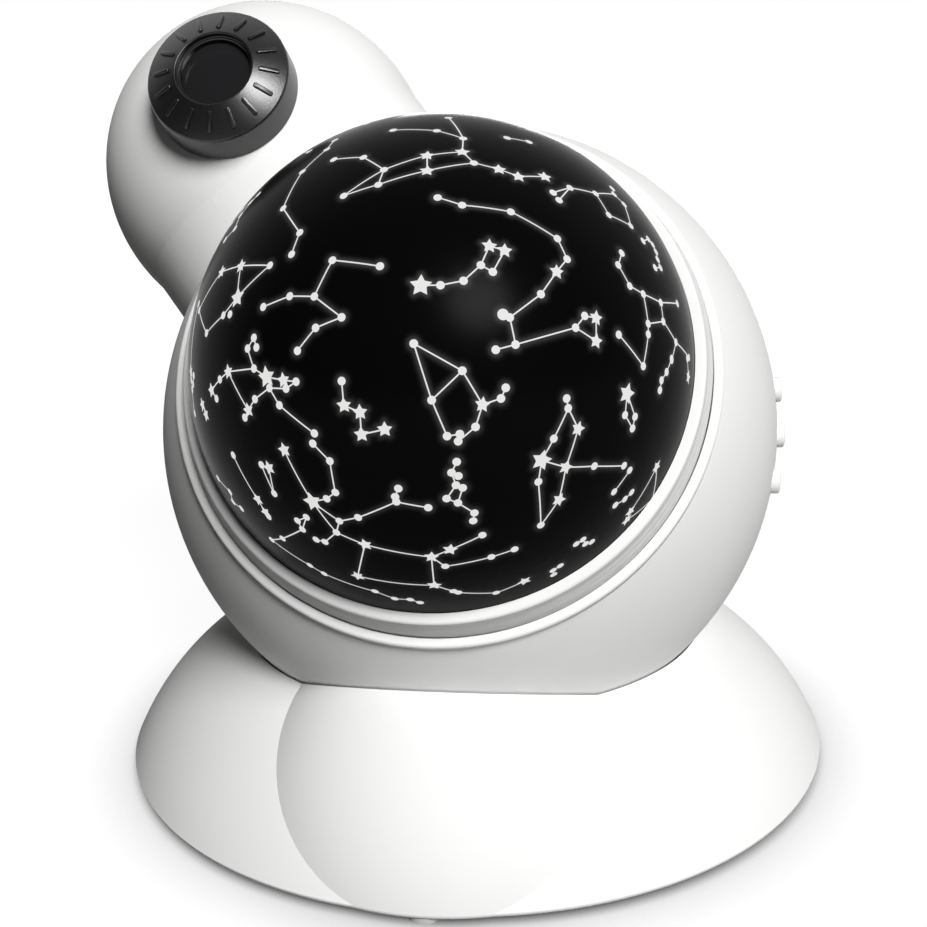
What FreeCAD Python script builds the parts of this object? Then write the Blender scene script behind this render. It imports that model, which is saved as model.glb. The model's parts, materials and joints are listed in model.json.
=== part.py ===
import FreeCAD, Part
import math
import os
import re

import Sketcher
from FreeCAD import Placement, Rotation, Vector

# Table-top planetarium projector: a ball with a turning star dome and a small
# slide-projector head, seated in the socket of a bell-shaped base.
# Millimetres. The origin is on the table under the ball, -Y is the front,
# +Z is up. "Level" is a distance from the ball's centre along the dome's axis.

SIZES = [
    # base
    ("ball_clearance", "6", "ball above the table"),
    ("base_radius", "106.5", "widest radius of the bell"),
    ("foot_height", "1.5", "rubber feet under the bell's rim"),
    ("foot_radius", "4.4", "rubber feet"),
    ("foot_inset", "4.3", "middle of the feet inside the bell's edge"),
    ("edge_round", "1.5", "rounding of the bell's lower edge"),
    ("bell_curve_radius", "72.5", "radius of the flank's arc"),
    ("bell_curve_drop", "28.2", "centre of the flank's arc below the table"),
    ("base_wall", "2.6", "wall of the base shell"),
    ("lobe_radius", "58.3", "front lobe sphere"),
    ("lobe_reach", "49.7", "lobe centre in front of the axis"),
    ("lobe_drop", "5", "lobe centre below the table"),
    ("rim_width", "9", "bell's rim round the bottom plate"),
    ("plate_thickness", "2.2", "bottom plate"),
    ("plate_clearance", "0.2", "bottom plate in the bell's rim"),
    ("plate_ledge", "3", "width of the ledge above the bottom plate"),
    ("ledge_thickness", "2.5", "height of that ledge"),
    ("well_radius", "34", "opening at the bottom of the socket"),
    ("socket_gap", "0.5", "running gap between ball and socket"),
    ("base_screw_inset", "9.5", "bottom plate's screws inside its edge"),
    ("post_radius", "4.2", "screw posts"),
    ("screw_shank", "1.4", "self-tapping screws, shank radius"),
    ("screw_head", "2.9", "self-tapping screws, head radius"),
    ("screw_head_height", "1.3", "self-tapping screws, head"),
    ("screw_length", "9", "self-tapping screws, shank length"),
    ("short_screw_length", "5.4", "shanks of the chassis screws"),
    ("long_screw_length", "20", "shanks of the shell screws"),
    ("pilot_clearance", "0.05", "screw shank to its hole"),
    ("pilot_room", "0.5", "hole beyond the end of a chassis screw"),
    ("sink_clearance", "0.3", "screw head in its counterbore"),
    ("overrun", "1", "how far a cutting tool passes a face"),
    ("root", "0.6", "how far a moulded detail runs into its wall"),
    # tilt clamp
    ("stem_radius", "5", "stem that passes through the ball's slot"),
    ("stem_rise", "3.6", "stem above the ball's inner wall"),
    ("stem_foot_width", "7", "stem's foot round the stem"),
    ("stem_foot_height", "0.8", "edge of the stem's foot"),
    ("stem_foot_slope", "0.8", "rise of the foot towards the stem"),
    ("slot_clearance", "0.6", "stem to the sides of the slot"),
    ("shoe_radius", "12", "friction shoe inside the ball"),
    ("shoe_thickness", "1.8", "friction shoe"),
    ("shoe_gap", "0.3", "friction shoe to the ball's inner wall"),
    ("tilt_up", "30", "degrees the dome can be raised"),
    ("tilt_down", "8", "degrees the dome can be lowered"),
    ("clamp_bolt_radius", "2", "bolt through the stem"),
    ("clamp_head_radius", "6.4", "bolt head"),
    ("clamp_head_height", "2.2", "bolt head"),
    ("clamp_head_bevel", "1", "bolt head"),
    ("clamp_recess", "0.3", "bolt's end inside the bottom plate's face"),
    ("spring_washer_height", "0.9", "washer under the bolt head"),
    ("spring_washer_lap", "1", "washer beyond the stem"),
    # ball
    ("ball_radius", "90", "ball"),
    ("shell_wall", "2.6", "wall of ball, neck and head"),
    ("dome_elevation", "30.5", "elevation of the dome's axis in degrees"),
    ("head_radius", "52", "head"),
    ("neck_inset", "1.4", "side of the neck inside the head's"),
    ("neck_flat", "5.2", "front of the neck behind the head's"),
    ("head_reach", "111", "head centre from ball centre"),
    ("head_angle", "51.7", "head above the level line, in the ring's plane"),
    ("boss_inset", "4", "shell screws inside the ball's inner wall"),
    ("boss_radius", "4.6", "shell screw bosses"),
    ("boss_height", "12", "front bosses, from the parting plane"),
    ("seat_depth", "12", "screw seats, from the parting plane"),
    ("screw_well", "3.4", "wells for the shell screws"),
    # dome opening and dome
    ("collar_radius", "68.7", "widest radius of the dome's collar"),
    ("opening_gap", "0.6", "collar to the ball's opening"),
    ("lip_width", "2.3", "raised lip round the opening"),
    ("lip_proud", "2.97", "top of the lip above the ball at its outer edge"),
    ("lip_round", "0.9", "rounding of the lip"),
    ("collar_knee", "1.3", "upright part of the collar's wall above the lip"),
    ("collar_taper", "1.8", "how far the collar's wall leans in"),
    ("collar_rise", "8.1", "top of the collar above the lip"),
    ("collar_round", "1", "rounding of the crown"),
    ("collar_wall", "2.4", "wall of the collar's skirt"),
    ("dome_radius", "64.4", "star dome"),
    ("dome_wall", "1.6", "star dome"),
    ("dome_clearance", "0.3", "star dome in its collar"),
    ("dome_ledge", "3.2", "ledge under the dome's rim"),
    ("dome_ledge_thickness", "2.6", "ledge under the dome's rim"),
    # turntable and drive
    ("turntable_depth", "11.5", "underside of the turntable below the lip"),
    ("turntable_thickness", "2.5", "turntable"),
    ("turntable_inset", "0.5", "turntable rim inside the collar's"),
    ("hub_radius", "8", "bearing boss of the turntable"),
    ("hub_fit", "0.05", "turntable bore on its boss"),
    ("track_radius", "50", "inner radius of the turntable's track"),
    ("track_width", "4", "turntable's track"),
    ("track_gap", "0.3", "track to turntable"),
    ("tooth_module", "1", "gear module"),
    ("wheel_teeth", "60", "ring gear"),
    ("pinion_teeth", "12", "drive pinion"),
    ("wheel_bore", "24", "ring gear, inner radius"),
    ("gear_face", "3.6", "width of the gears"),
    ("gear_backlash", "0.16", "play at the pitch circle"),
    ("pinion_angle", "-36", "pinion's place round the dome's axis, degrees"),
    ("shaft_radius", "1.5", "motor shaft"),
    ("shaft_fit", "0.05", "motor shaft in its bearing"),
    ("shaft_room", "0.6", "motor shaft in the chassis plate"),
    ("pinion_hub_radius", "2.6", "hub of the drive pinion"),
    ("pinion_lift", "0.4", "pinion's hub above the chassis"),
    ("pinion_drop", "0.3", "pinion's face below the ring gear's"),
    ("retainer_radius", "12.5", "ring that keeps the turntable on its boss"),
    ("retainer_thickness", "1.4", "that ring"),
    # chassis
    ("chassis_depth", "17", "upper face of the chassis plate below the lip"),
    ("chassis_thickness", "2.5", "chassis plate"),
    ("chassis_clearance", "0.5", "chassis rim to the shell"),
    ("ledge_width", "4.5", "ledge that carries the chassis"),
    ("ledge_height", "3.4", "ledge that carries the chassis"),
    ("chassis_screw_inset", "2.85", "chassis screws inside the ball's inner wall"),
    ("motor_radius", "11", "gear motor"),
    ("motor_length", "21", "gear motor"),
    ("gearbox_share", "0.42", "part of the motor's length taken by its gears"),
    ("gearbox_step", "1.5", "gearbox wider than the motor's can"),
    ("motor_cap_radius", "3", "rear bearing cap of the motor"),
    ("motor_cap_height", "2", "rear bearing cap of the motor"),
    ("shaft_end_gap", "0.3", "end of the shaft to the end of its bore"),
    ("lamp_post_radius", "4.6", "post of the star lamp"),
    ("post_flange_width", "2.5", "flange of the lamp post"),
    ("post_flange_height", "4", "flange of the lamp post"),
    ("lamp_depth", "4.2", "foot of the star lamp below the dome's centre"),
    ("star_lamp_radius", "2.5", "star lamp"),
    ("star_lamp_length", "4", "straight part of the star lamp"),
    ("lamp_flange_width", "0.4", "flange at the foot of a lamp"),
    ("lamp_flange_height", "0.8", "flange at the foot of a lamp"),
    ("board_thickness", "1.6", "circuit boards"),
    ("main_board_width", "66", "main board"),
    ("main_board_depth", "44", "main board"),
    ("main_board_x", "-6", "middle of the main board"),
    ("main_board_y", "30", "middle of the main board"),
    ("part_height", "5", "parts on the main board"),
    ("processor_side", "14", "processor on the main board"),
    ("processor_x", "-9", "processor from the middle of the board"),
    ("processor_y", "-3", "processor from the middle of the board"),
    ("plug_length", "14", "plug on the main board"),
    ("plug_width", "6", "plug on the main board"),
    ("plug_x", "17", "plug from the middle of the board"),
    ("plug_y", "9", "plug from the middle of the board"),
    ("driver_length", "10", "motor driver on the main board"),
    ("driver_width", "7", "motor driver on the main board"),
    ("driver_x", "11.5", "motor driver from the middle of the board"),
    ("driver_y", "-7", "motor driver from the middle of the board"),
    ("standoff_height", "6", "main board's standoffs"),
    ("standoff_radius", "3", "main board's standoffs"),
    ("standoff_inset", "4", "standoffs inside the board's edges"),
    # buttons
    ("button_radius", "3.6", "button caps"),
    ("button_clearance", "0.3", "caps in their holes"),
    ("button_proud", "1.9", "caps above the ball"),
    ("button_travel", "1.2", "stroke"),
    ("button_pitch", "13.5", "spacing of the column"),
    ("button_shift", "-2.5", "middle of the column along the ring's plane"),
    ("button_level", "8.5", "level of the column"),
    ("button_flange", "4.7", "flange behind the shell"),
    ("button_flange_thickness", "1.2", "that flange"),
    ("button_stem", "1.8", "stem that works the switch"),
    ("button_round", "0.8", "rounding of the caps"),
    ("flange_gap", "0.35", "flange to the shell's inner wall"),
    ("switch_depth", "11", "top of the switches' plungers inside the ball's skin"),
    ("switch_height", "4", "switch and plunger above the board"),
    ("switch_side", "6", "switch body"),
    ("plunger_height", "1", "plunger above the switch"),
    ("plunger_radius", "1.7", "plunger of a switch"),
    ("plunger_gap", "0.3", "cap above the plunger when fully pressed"),
    ("button_board_length", "56", "board behind the buttons"),
    ("button_board_width", "11", "board behind the buttons"),
    ("board_post_radius", "2.4", "posts that carry that board"),
    ("board_post_inset", "4", "those posts inside the board's ends"),
    # battery compartment
    ("cell_radius", "7.2", "AA cells"),
    ("cell_length", "50", "AA cells"),
    ("cell_pitch", "14.7", "AA cells side by side"),
    ("cell_gap", "0.2", "cells to the tray's floor and sides"),
    ("cell_tip_radius", "2.7", "positive end of a cell"),
    ("cell_tip_length", "1.4", "positive end of a cell"),
    ("contact_room", "3.8", "room for the contacts at each end"),
    ("contact_thickness", "0.5", "contact leaves"),
    ("contact_margin", "1", "contact leaves inside a cell's outline"),
    ("contact_gap", "0.3", "contacts to the cells"),
    ("spring_radius", "3.4", "contact springs"),
    ("bump_radius", "1.8", "contact bumps"),
    ("tray_wall", "1.6", "battery tray"),
    ("tray_depth", "32.4", "outer face of the tray's floor inside the ball's wall"),
    ("tray_rim", "4", "tray wall that carries the door"),
    ("lug_width", "10", "lug for the door's screw"),
    ("lug_height", "8", "lug for the door's screw"),
    ("lug_gap", "0.6", "that lug above the cells"),
    ("door_screw_inset", "2.6", "door's screw inside the bay's end"),
    ("door_screw_depth", "1.7", "seat of the door's screw below the skin"),
    ("door_lap", "2", "door over the tray's rim"),
    ("door_corner", "5", "corners of the door"),
    ("door_gap", "0.25", "door in its opening"),
    # head
    ("guide_radius", "16.9", "focus guide, outside"),
    ("guide_bore", "14.6", "focus guide, inside"),
    ("guide_length", "30", "focus guide"),
    ("guide_flange_radius", "25", "flange of the guide"),
    ("guide_flange_depth", "14", "flange's inner face below the head's top"),
    ("knob_radius", "20.9", "focus knob"),
    ("knob_gap", "0.4", "knob to the head"),
    ("knob_stand", "5.6", "edge of the knob's face above the head's top"),
    ("knob_draft", "0.3", "lean of the knob's side"),
    ("knob_edge", "0.8", "rounding of the face's edge"),
    ("knob_rise", "3.8", "inner rim of the knob's face above its edge"),
    ("knob_rim_radius", "12.2", "inner rim of the knob's face"),
    ("rim_bevel", "0.6", "bevel of the inner rim"),
    ("rim_bevel_drop", "0.3", "bevel of the inner rim"),
    ("knob_clearance", "0.5", "knob round the guide"),
    ("knob_web", "1.6", "web that carries the window"),
    ("knob_web_gap", "1", "web above the guide"),
    ("knob_step_radius", "11", "step round the window"),
    ("knob_step_drop", "1.8", "step round the window below the inner rim"),
    ("window_drop", "4.8", "seat of the window below the inner rim"),
    ("window_lap", "1.5", "seat of the window"),
    ("window_thickness", "1.2", "window at its edge"),
    ("window_crown", "0.9", "swell of the window"),
    ("rib_count", "16", "ribs on the knob's face"),
    ("rib_width", "1.2", "ribs on the knob's face"),
    ("rib_rise", "0.55", "ribs above the face"),
    ("rib_inner", "13.9", "inner end of the ribs"),
    ("rib_outer", "18.9", "outer end of the ribs"),
    ("barrel_fit", "0.08", "lens barrel in its guide"),
    ("barrel_lift", "3", "lens barrel's inner end above the guide's"),
    ("barrel_length", "22.5", "lens barrel"),
    ("barrel_wall", "1.9", "lens barrel"),
    ("lens_inset", "4", "rim of the lens inside the barrel's end"),
    ("lens_shelf", "1.2", "shelf that carries a lens"),
    ("lens_shelf_gap", "0.1", "curved face of the lens to its shelf"),
    ("lens_thickness", "2.2", "projection lens at its edge"),
    ("lens_crown", "1.6", "swell of each face of the lens"),
    ("disc_radius", "31", "picture disc"),
    ("disc_thickness", "2", "picture disc"),
    ("disc_level", "-4", "underside of the picture disc"),
    ("disc_offset", "24", "picture disc's centre beyond the head's"),
    ("disc_fit", "0.05", "picture disc on its spindle"),
    ("frame_radius", "5.6", "picture windows"),
    ("frame_count", "8", "picture windows"),
    ("spindle_radius", "2.5", "spindle of the picture disc"),
    ("spindle_gap", "0.3", "spindle's head above the disc"),
    ("spindle_head_width", "2.2", "head of the spindle"),
    ("spindle_head_height", "0.8", "edge of the spindle's head"),
    ("spindle_crown", "0.5", "swell of the spindle's head"),
    ("slot_width", "54", "slot for the picture disc"),
    ("slot_height", "4", "slot for the picture disc"),
    ("slot_depth", "14", "how far that slot runs into the head"),
    ("carrier_thickness", "2", "plate that carries the picture disc"),
    ("carrier_clearance", "0.3", "that plate in the head"),
    ("carrier_gap", "0.3", "that plate under the disc"),
    ("gate_margin", "1.5", "hole in that plate round a picture"),
    ("lamp_tube_radius", "14", "tube between head lamp and disc"),
    ("lamp_tube_wall", "1.5", "that tube"),
    ("lamp_tube_length", "24", "that tube"),
    ("condenser_crown", "4", "swell of the condenser lens"),
    ("condenser_thickness", "1.5", "condenser lens at its edge"),
    ("condenser_depth", "9", "flat face of the condenser lens below the carrier"),
    ("condenser_shelf", "1", "shelf under the condenser lens"),
    ("head_lamp_radius", "2.5", "head lamp"),
    ("head_lamp_length", "5", "straight part of the head lamp"),
    ("lamp_board_lap", "1", "head lamp's board beyond the tube"),
]

LAYOUT = [
    ("far", "3 * ball_radius + base_radius"),
    ("ball_centre_height", "ball_radius + ball_clearance"),
    ("ball_turn", "90 - dome_elevation"),
    ("turn_cos", "cos(ball_turn)"),
    ("turn_sin", "sin(ball_turn)"),
    ("inner_radius", "ball_radius - shell_wall"),
    ("bell_centre", "base_radius - sqrt(bell_curve_radius^2 - (foot_height + edge_round"
     " + bell_curve_drop)^2)"),
    ("plate_top", "foot_height + plate_thickness"),
    ("ledge_top", "plate_top + ledge_thickness"),
    ("plate_radius", "base_radius - rim_width"),
    ("plate_seat", "plate_radius + plate_clearance"),
    ("base_screw_circle", "plate_radius - base_screw_inset"),
    ("foot_circle", "base_radius - foot_inset"),
    ("stem_top", "ball_centre_height - inner_radius + stem_rise"),
    ("clamp_top", "stem_top + spring_washer_height"),
    ("opening_radius", "collar_radius + opening_gap"),
    ("lip_radius", "opening_radius + lip_width"),
    ("lip_level", "sqrt(ball_radius^2 - lip_radius^2) + lip_proud"),
    ("collar_knee_level", "lip_level + collar_knee"),
    ("collar_crown_level", "lip_level + collar_rise"),
    ("collar_crown_radius", "collar_radius - collar_taper"),
    ("dome_level", "lip_level"),
    ("wall_middle", "ball_radius - shell_wall / 2"),
    ("boss_circle", "inner_radius - boss_inset"),
    ("head_x", "-head_reach * cos(head_angle)"),
    ("head_y", "head_reach * sin(head_angle)"),
    ("head_inner", "head_radius - shell_wall"),
    ("neck_radius", "head_radius - neck_inset"),
    ("neck_depth", "head_radius - neck_flat"),
    ("chassis_level", "lip_level - chassis_depth"),
    ("chassis_floor", "chassis_level - chassis_thickness"),
    ("chassis_seat", "sqrt(inner_radius^2 - chassis_level^2)"),
    ("chassis_radius", "chassis_seat - chassis_clearance"),
    ("chassis_screw_circle", "chassis_seat - chassis_screw_inset"),
    ("ledge_top_level", "chassis_level + ledge_height"),
    ("lamp_foot", "dome_level - lamp_depth"),
    ("turntable_level", "lip_level - turntable_depth"),
    ("turntable_top", "turntable_level + turntable_thickness"),
    ("turntable_radius", "collar_radius - turntable_inset"),
    ("wheel_level", "turntable_level - gear_face"),
    ("gear_distance", "tooth_module * (wheel_teeth + pinion_teeth) / 2"),
    ("pinion_x", "gear_distance * cos(pinion_angle)"),
    ("pinion_y", "gear_distance * sin(pinion_angle)"),
    ("disc_x", "head_x - disc_offset * cos(head_angle)"),
    ("disc_y", "head_y + disc_offset * sin(head_angle)"),
    ("carrier_top", "disc_level - carrier_gap"),
    ("carrier_floor", "carrier_top - carrier_thickness"),
    ("cells_width", "cell_length + 2 * contact_room"),
    ("cells_height", "4 * cell_pitch + 2 * cell_gap"),
    ("tray_floor", "inner_radius - tray_depth"),
    ("cell_seat", "tray_floor + tray_wall + cell_gap"),
    ("door_screw_z", "cells_height / 2 - door_screw_inset"),
    ("door_seat", "sqrt(ball_radius^2 - door_screw_z^2) - door_screw_depth"),
    ("knob_shoulder", "head_radius + knob_stand"),
    ("knob_rim_level", "knob_shoulder + knob_rise"),
    ("knob_step_level", "knob_rim_level - knob_step_drop"),
    ("window_seat", "knob_rim_level - window_drop"),
    ("knob_web_level", "window_seat - knob_web"),
    ("knob_bore", "guide_radius + knob_clearance"),
    ("knob_face_radius", "knob_radius - knob_draft - knob_edge"),
    ("guide_top", "knob_web_level - knob_web_gap"),
    ("guide_foot", "guide_top - guide_length"),
    ("guide_flange_level", "head_radius - guide_flange_depth"),
    ("barrel_radius", "guide_bore - barrel_fit"),
    ("barrel_foot", "guide_foot + barrel_lift"),
    ("barrel_top", "barrel_foot + barrel_length"),
    ("lens_radius", "barrel_radius - barrel_wall"),
    ("lens_seat", "barrel_top - lens_inset - lens_thickness"),
    ("tube_foot", "carrier_floor - lamp_tube_length"),
    ("tube_bore", "lamp_tube_radius - lamp_tube_wall"),
    ("condenser_seat", "carrier_floor - condenser_depth"),
    ("switch_face", "ball_radius - switch_depth"),
    ("board_face", "switch_face - switch_height"),
]

doc = FreeCAD.newDocument("planetarium")
sizes = doc.addObject("Spreadsheet::Sheet", "Sizes")
layout = doc.addObject("Spreadsheet::Sheet", "Layout")
scratch = doc.addObject("Spreadsheet::Sheet", "Scratch")
homes = {}


def link(text):
    """Put the sheet's name in front of each alias in an expression."""
    return re.sub(r"[a-z]\w*", lambda m: homes.get(m.group(0), "") + m.group(0), text)


for row, (alias, number, note) in enumerate(SIZES, 1):
    sizes.set("A%d" % row, alias)
    sizes.set("B%d" % row, number)
    sizes.set("C%d" % row, note)
    sizes.setAlias("B%d" % row, alias)
    homes[alias] = "Sizes."
doc.recompute()
for row, (alias, formula) in enumerate(LAYOUT, 1):
    layout.set("A%d" % row, alias)
    layout.set("B%d" % row, "=" + link(formula).replace("Layout.", ""))
    layout.setAlias("B%d" % row, alias)
    homes[alias] = "Layout."
    layout.recompute()
doc.recompute()


def number(text):
    """The number that an expression on the sheets gives."""
    scratch.set("A1", "=" + link(text))
    scratch.recompute()
    return float(scratch.get("A1"))


def bind(item, **cells):
    """Bind properties to expressions; two underscores stand for a point."""
    for name, text in cells.items():
        item.setExpression(name.replace("__", "."), link(text))
    return item


# ---------------------------------------------------------------- sketches
def plane_of(body, role):
    return [f for f in body.Origin.OriginFeatures if f.Role == role][0]


def new_body(name):
    body = doc.addObject("PartDesign::Body", name)
    body.Label = name
    return body


def pin_point(sketch, index, end, x, y):
    """Hold one end of an edge at the place that two expressions give."""
    if x == "0":
        sketch.addConstraint(Sketcher.Constraint("PointOnObject", index, end, -2))
    else:
        c = sketch.addConstraint(Sketcher.Constraint("DistanceX", -1, 1, index, end, number(x)))
        sketch.setExpression("Constraints[%d]" % c, link(x))
    if y == "0":
        sketch.addConstraint(Sketcher.Constraint("PointOnObject", index, end, -1))
    else:
        c = sketch.addConstraint(Sketcher.Constraint("DistanceY", -1, 1, index, end, number(y)))
        sketch.setExpression("Constraints[%d]" % c, link(y))


def add_loop(sketch, points):
    """A closed outline. A point is (x, y), or (x, y, radius) for an arc to it.

    A radius that starts with "<" puts the arc's centre on the left of the way
    to the point, and one that starts with ">" puts it on the right.
    """
    places = [Vector(number(p[0]), number(p[1]), 0) for p in points]
    first = sketch.GeometryCount
    ends = []
    for i, p in enumerate(points):
        a, b = places[i - 1], places[i]
        if len(p) == 2:
            sketch.addGeometry(Part.LineSegment(a, b), False)
            ends.append((1, 2))
            continue
        left = p[2][0] == "<"
        radius = number(p[2][1:])
        half = (b - a) * 0.5
        side = Vector(-half.y, half.x, 0).normalize() * (1 if left else -1)
        centre = a + half + side * math.sqrt(max(radius * radius - half.Length ** 2, 0.0))
        start, stop = (a, b) if left else (b, a)
        circle = Part.Circle(centre, Vector(0, 0, 1), radius)
        turn = [math.atan2(v.y - centre.y, v.x - centre.x) for v in (start, stop)]
        sketch.addGeometry(Part.ArcOfCircle(circle, turn[0], turn[1]), False)
        ends.append((1, 2) if left else (2, 1))
    count = len(points)
    for i, p in enumerate(points):
        here, after = first + i, first + (i + 1) % count
        sketch.addConstraint(Sketcher.Constraint("Coincident", here, ends[i][1], after,
                                                 ends[(i + 1) % count][0]))
        pin_point(sketch, here, ends[i][1], p[0], p[1])
        if len(p) == 3:
            c = sketch.addConstraint(Sketcher.Constraint("Radius", here, number(p[2][1:])))
            sketch.setExpression("Constraints[%d]" % c, link(p[2][1:]))


def add_ring(sketch, x, y, radius):
    index = sketch.addGeometry(Part.Circle(Vector(number(x), number(y), 0), Vector(0, 0, 1),
                                           number(radius)), False)
    pin_point(sketch, index, 3, x, y)
    c = sketch.addConstraint(Sketcher.Constraint("Radius", index, number(radius)))
    sketch.setExpression("Constraints[%d]" % c, link(radius))


def new_sketch(body, role, name, loops=(), rings=(), lift="0"):
    sketch = body.newObject("Sketcher::SketchObject", name)
    sketch.AttachmentSupport = [(plane_of(body, role), "")]
    sketch.MapMode = "FlatFace"
    if lift != "0":
        bind(sketch, AttachmentOffset__Base__z=lift)
    for loop in loops:
        add_loop(sketch, loop)
    for ring in rings:
        add_ring(sketch, *ring)
    return sketch


def turned(name, points, body=None, axis="V_Axis", role="XZ_Plane", rings=()):
    """A turned piece: an outline of radius and level, spun about its axis."""
    body = body or new_body(name)
    sketch = new_sketch(body, role, name + "_profile", [points] if points else [], rings)
    spin = body.newObject("PartDesign::Revolution", name + "_turn")
    spin.Profile = sketch
    spin.ReferenceAxis = (sketch, [axis])
    spin.Angle = 360
    sketch.Visibility = False
    return body


def padded(name, length, loops=(), rings=(), lift="0", body=None, role="XY_Plane",
           both_ways=False, feature="Pad"):
    """A straight pad or pocket of a sketched outline."""
    body = body or new_body(name)
    sketch = new_sketch(body, role, name + "_outline", loops, rings, lift)
    pad = body.newObject("PartDesign::" + feature, name + "_" + feature.lower())
    pad.Profile = sketch
    bind(pad, Length=length)
    if both_ways:
        pad.SideType = "Symmetric"
    return body


def rectangle(x0, y0, x1, y1):
    return [(x0, y0), (x1, y0), (x1, y1), (x0, y1)]


def rounded(half_x, half_y, radius):
    """A centred rectangle with rounded corners, anticlockwise."""
    x, y, r = half_x, half_y, radius
    xi, yi = "%s - %s" % (x, r), "%s - %s" % (y, r)
    return [(xi, "-(%s)" % y), (x, "-(%s)" % yi, "<" + r), (x, yi), (xi, y, "<" + r),
            ("-(%s)" % xi, y), ("-(%s)" % x, yi, "<" + r), ("-(%s)" % x, "-(%s)" % yi),
            ("-(%s)" % xi, "-(%s)" % y, "<" + r)]


# --------------------------------------------------------------- primitives
def sphere(name, radius, x="0", y="0", z="0"):
    ball = doc.addObject("Part::Sphere", name)
    return bind(ball, Radius=radius, Placement__Base__x=x, Placement__Base__y=y,
                Placement__Base__z=z)


def cylinder(name, radius, height, x="0", y="0", z="0"):
    rod = doc.addObject("Part::Cylinder", name)
    return bind(rod, Radius=radius, Height=height, Placement__Base__x=x,
                Placement__Base__y=y, Placement__Base__z=z)


def block(name, x0, y0, z0, wide, deep, high):
    box = doc.addObject("Part::Box", name)
    return bind(box, Length=wide, Width=deep, Height=high, Placement__Base__x=x0,
                Placement__Base__y=y0, Placement__Base__z=z0)


def joined(name, *pieces):
    fuse = doc.addObject("Part::MultiFuse", name)
    fuse.Shapes = list(pieces)
    return fuse


def cut(name, base, tool):
    item = doc.addObject("Part::Cut", name)
    item.Base, item.Tool = base, tool
    return item


def shared(name, base, tool):
    item = doc.addObject("Part::Common", name)
    item.Base, item.Tool = base, tool
    return item


nodes = []


def keep(item, name=None):
    """List a finished piece; its label is its file's name."""
    item.Label = name or item.Name
    nodes.append(item)
    return item


def seat_in_ball(item, x="0", y="0", z="0"):
    """Place a piece that is drawn along the dome's axis, from the ball's centre."""
    item.Placement = Placement(Vector(), Rotation(Vector(1, 0, 0), 60))
    return bind(item, Placement__Rotation__Angle="ball_turn", Placement__Base__x=x,
                Placement__Base__y="(%s) * turn_cos - (%s) * turn_sin" % (y, z),
                Placement__Base__z="ball_centre_height + (%s) * turn_sin + (%s) * turn_cos"
                % (y, z))


def seat_level(item, x="0", y="0", z="0"):
    """Place a tool that stays level, inside a piece drawn along the dome's axis."""
    item.Placement = Placement(Vector(), Rotation(Vector(1, 0, 0), -60))
    return bind(item, Placement__Rotation__Angle="-ball_turn", Placement__Base__x=x,
                Placement__Base__y="(%s) * turn_cos + (%s) * turn_sin" % (y, z),
                Placement__Base__z="(%s) * turn_cos - (%s) * turn_sin" % (z, y))


def at_ball_centre(item, x="0", y="0", z="0"):
    """Place a piece that is drawn level, from the ball's centre."""
    return bind(item, Placement__Base__x=x, Placement__Base__y=y,
                Placement__Base__z="ball_centre_height + (%s)" % z)


def round_places(radius, angles):
    """Places on a circle about the axis, as pairs of expressions."""
    return [("%s * cos(%s)" % (radius, a), "%s * sin(%s)" % (radius, a)) for a in angles]


# --------------------------------------------------------------------- base
arc_rim = ("base_radius", "foot_height + edge_round")
bell_form = turned("bell_form", [
    ("0", "foot_height"),
    ("base_radius - edge_round", "foot_height"),
    arc_rim + ("<edge_round",),
    ("bell_centre", "bell_curve_radius - bell_curve_drop", "<bell_curve_radius"),
    ("0", "bell_curve_radius - bell_curve_drop"),
])
lobe_ball = sphere("lobe_ball", "lobe_radius", y="-lobe_reach", z="-lobe_drop")
under = block("under_table", "-far", "-far", "foot_height - far", "2 * far", "2 * far", "far")
lobe_form = cut("lobe_form", lobe_ball, under)
base_form = joined("base_form", bell_form, lobe_form)

bell_hollow = turned("bell_hollow", [
    ("0", "foot_height - overrun"),
    ("plate_seat", "foot_height - overrun"),
    ("plate_seat", "plate_top"),
    ("plate_seat - plate_ledge", "plate_top"),
    ("plate_seat - plate_ledge", "ledge_top"),
    ("bell_centre + sqrt((bell_curve_radius - base_wall)^2 - (ledge_top + bell_curve_drop)^2)",
     "ledge_top"),
    ("bell_centre", "bell_curve_radius - base_wall - bell_curve_drop",
     "<bell_curve_radius - base_wall"),
    ("0", "bell_curve_radius - base_wall - bell_curve_drop"),
])
lobe_inside = sphere("lobe_inside", "lobe_radius - base_wall", y="-lobe_reach", z="-lobe_drop")
under_ledge = block("under_ledge", "-far", "-far", "ledge_top - far", "2 * far", "2 * far", "far")
lobe_hollow = cut("lobe_hollow", lobe_inside, under_ledge)
base_hollow = joined("base_hollow", bell_hollow, lobe_hollow)
base_skin = cut("base_skin", base_form, base_hollow)

socket_ball = sphere("socket_ball", "ball_radius + socket_gap + base_wall", z="ball_centre_height")
BASE_SCREWS = ("45", "135", "225", "315")
posts = [cylinder("post_%d" % i, "post_radius", "ball_radius", x, y, "plate_top")
         for i, (x, y) in enumerate(round_places("base_screw_circle", BASE_SCREWS))]
pilots = [cylinder("post_bore_%d" % i, "screw_shank + pilot_clearance",
                   "screw_length + 2 * overrun", x, y, "plate_top - overrun")
          for i, (x, y) in enumerate(round_places("base_screw_circle", BASE_SCREWS))]
base_inside = shared("base_inside", base_form, joined("socket_and_posts", socket_ball, *posts))
base_walls = joined("base_walls", base_skin, base_inside)
seat_ball = sphere("seat_ball", "ball_radius + socket_gap", z="ball_centre_height")
well = cylinder("socket_well", "well_radius", "ball_radius", z="foot_height - overrun")
keep(cut("base_shell", base_walls, joined("base_openings", seat_ball, well, *pilots)))

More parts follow.
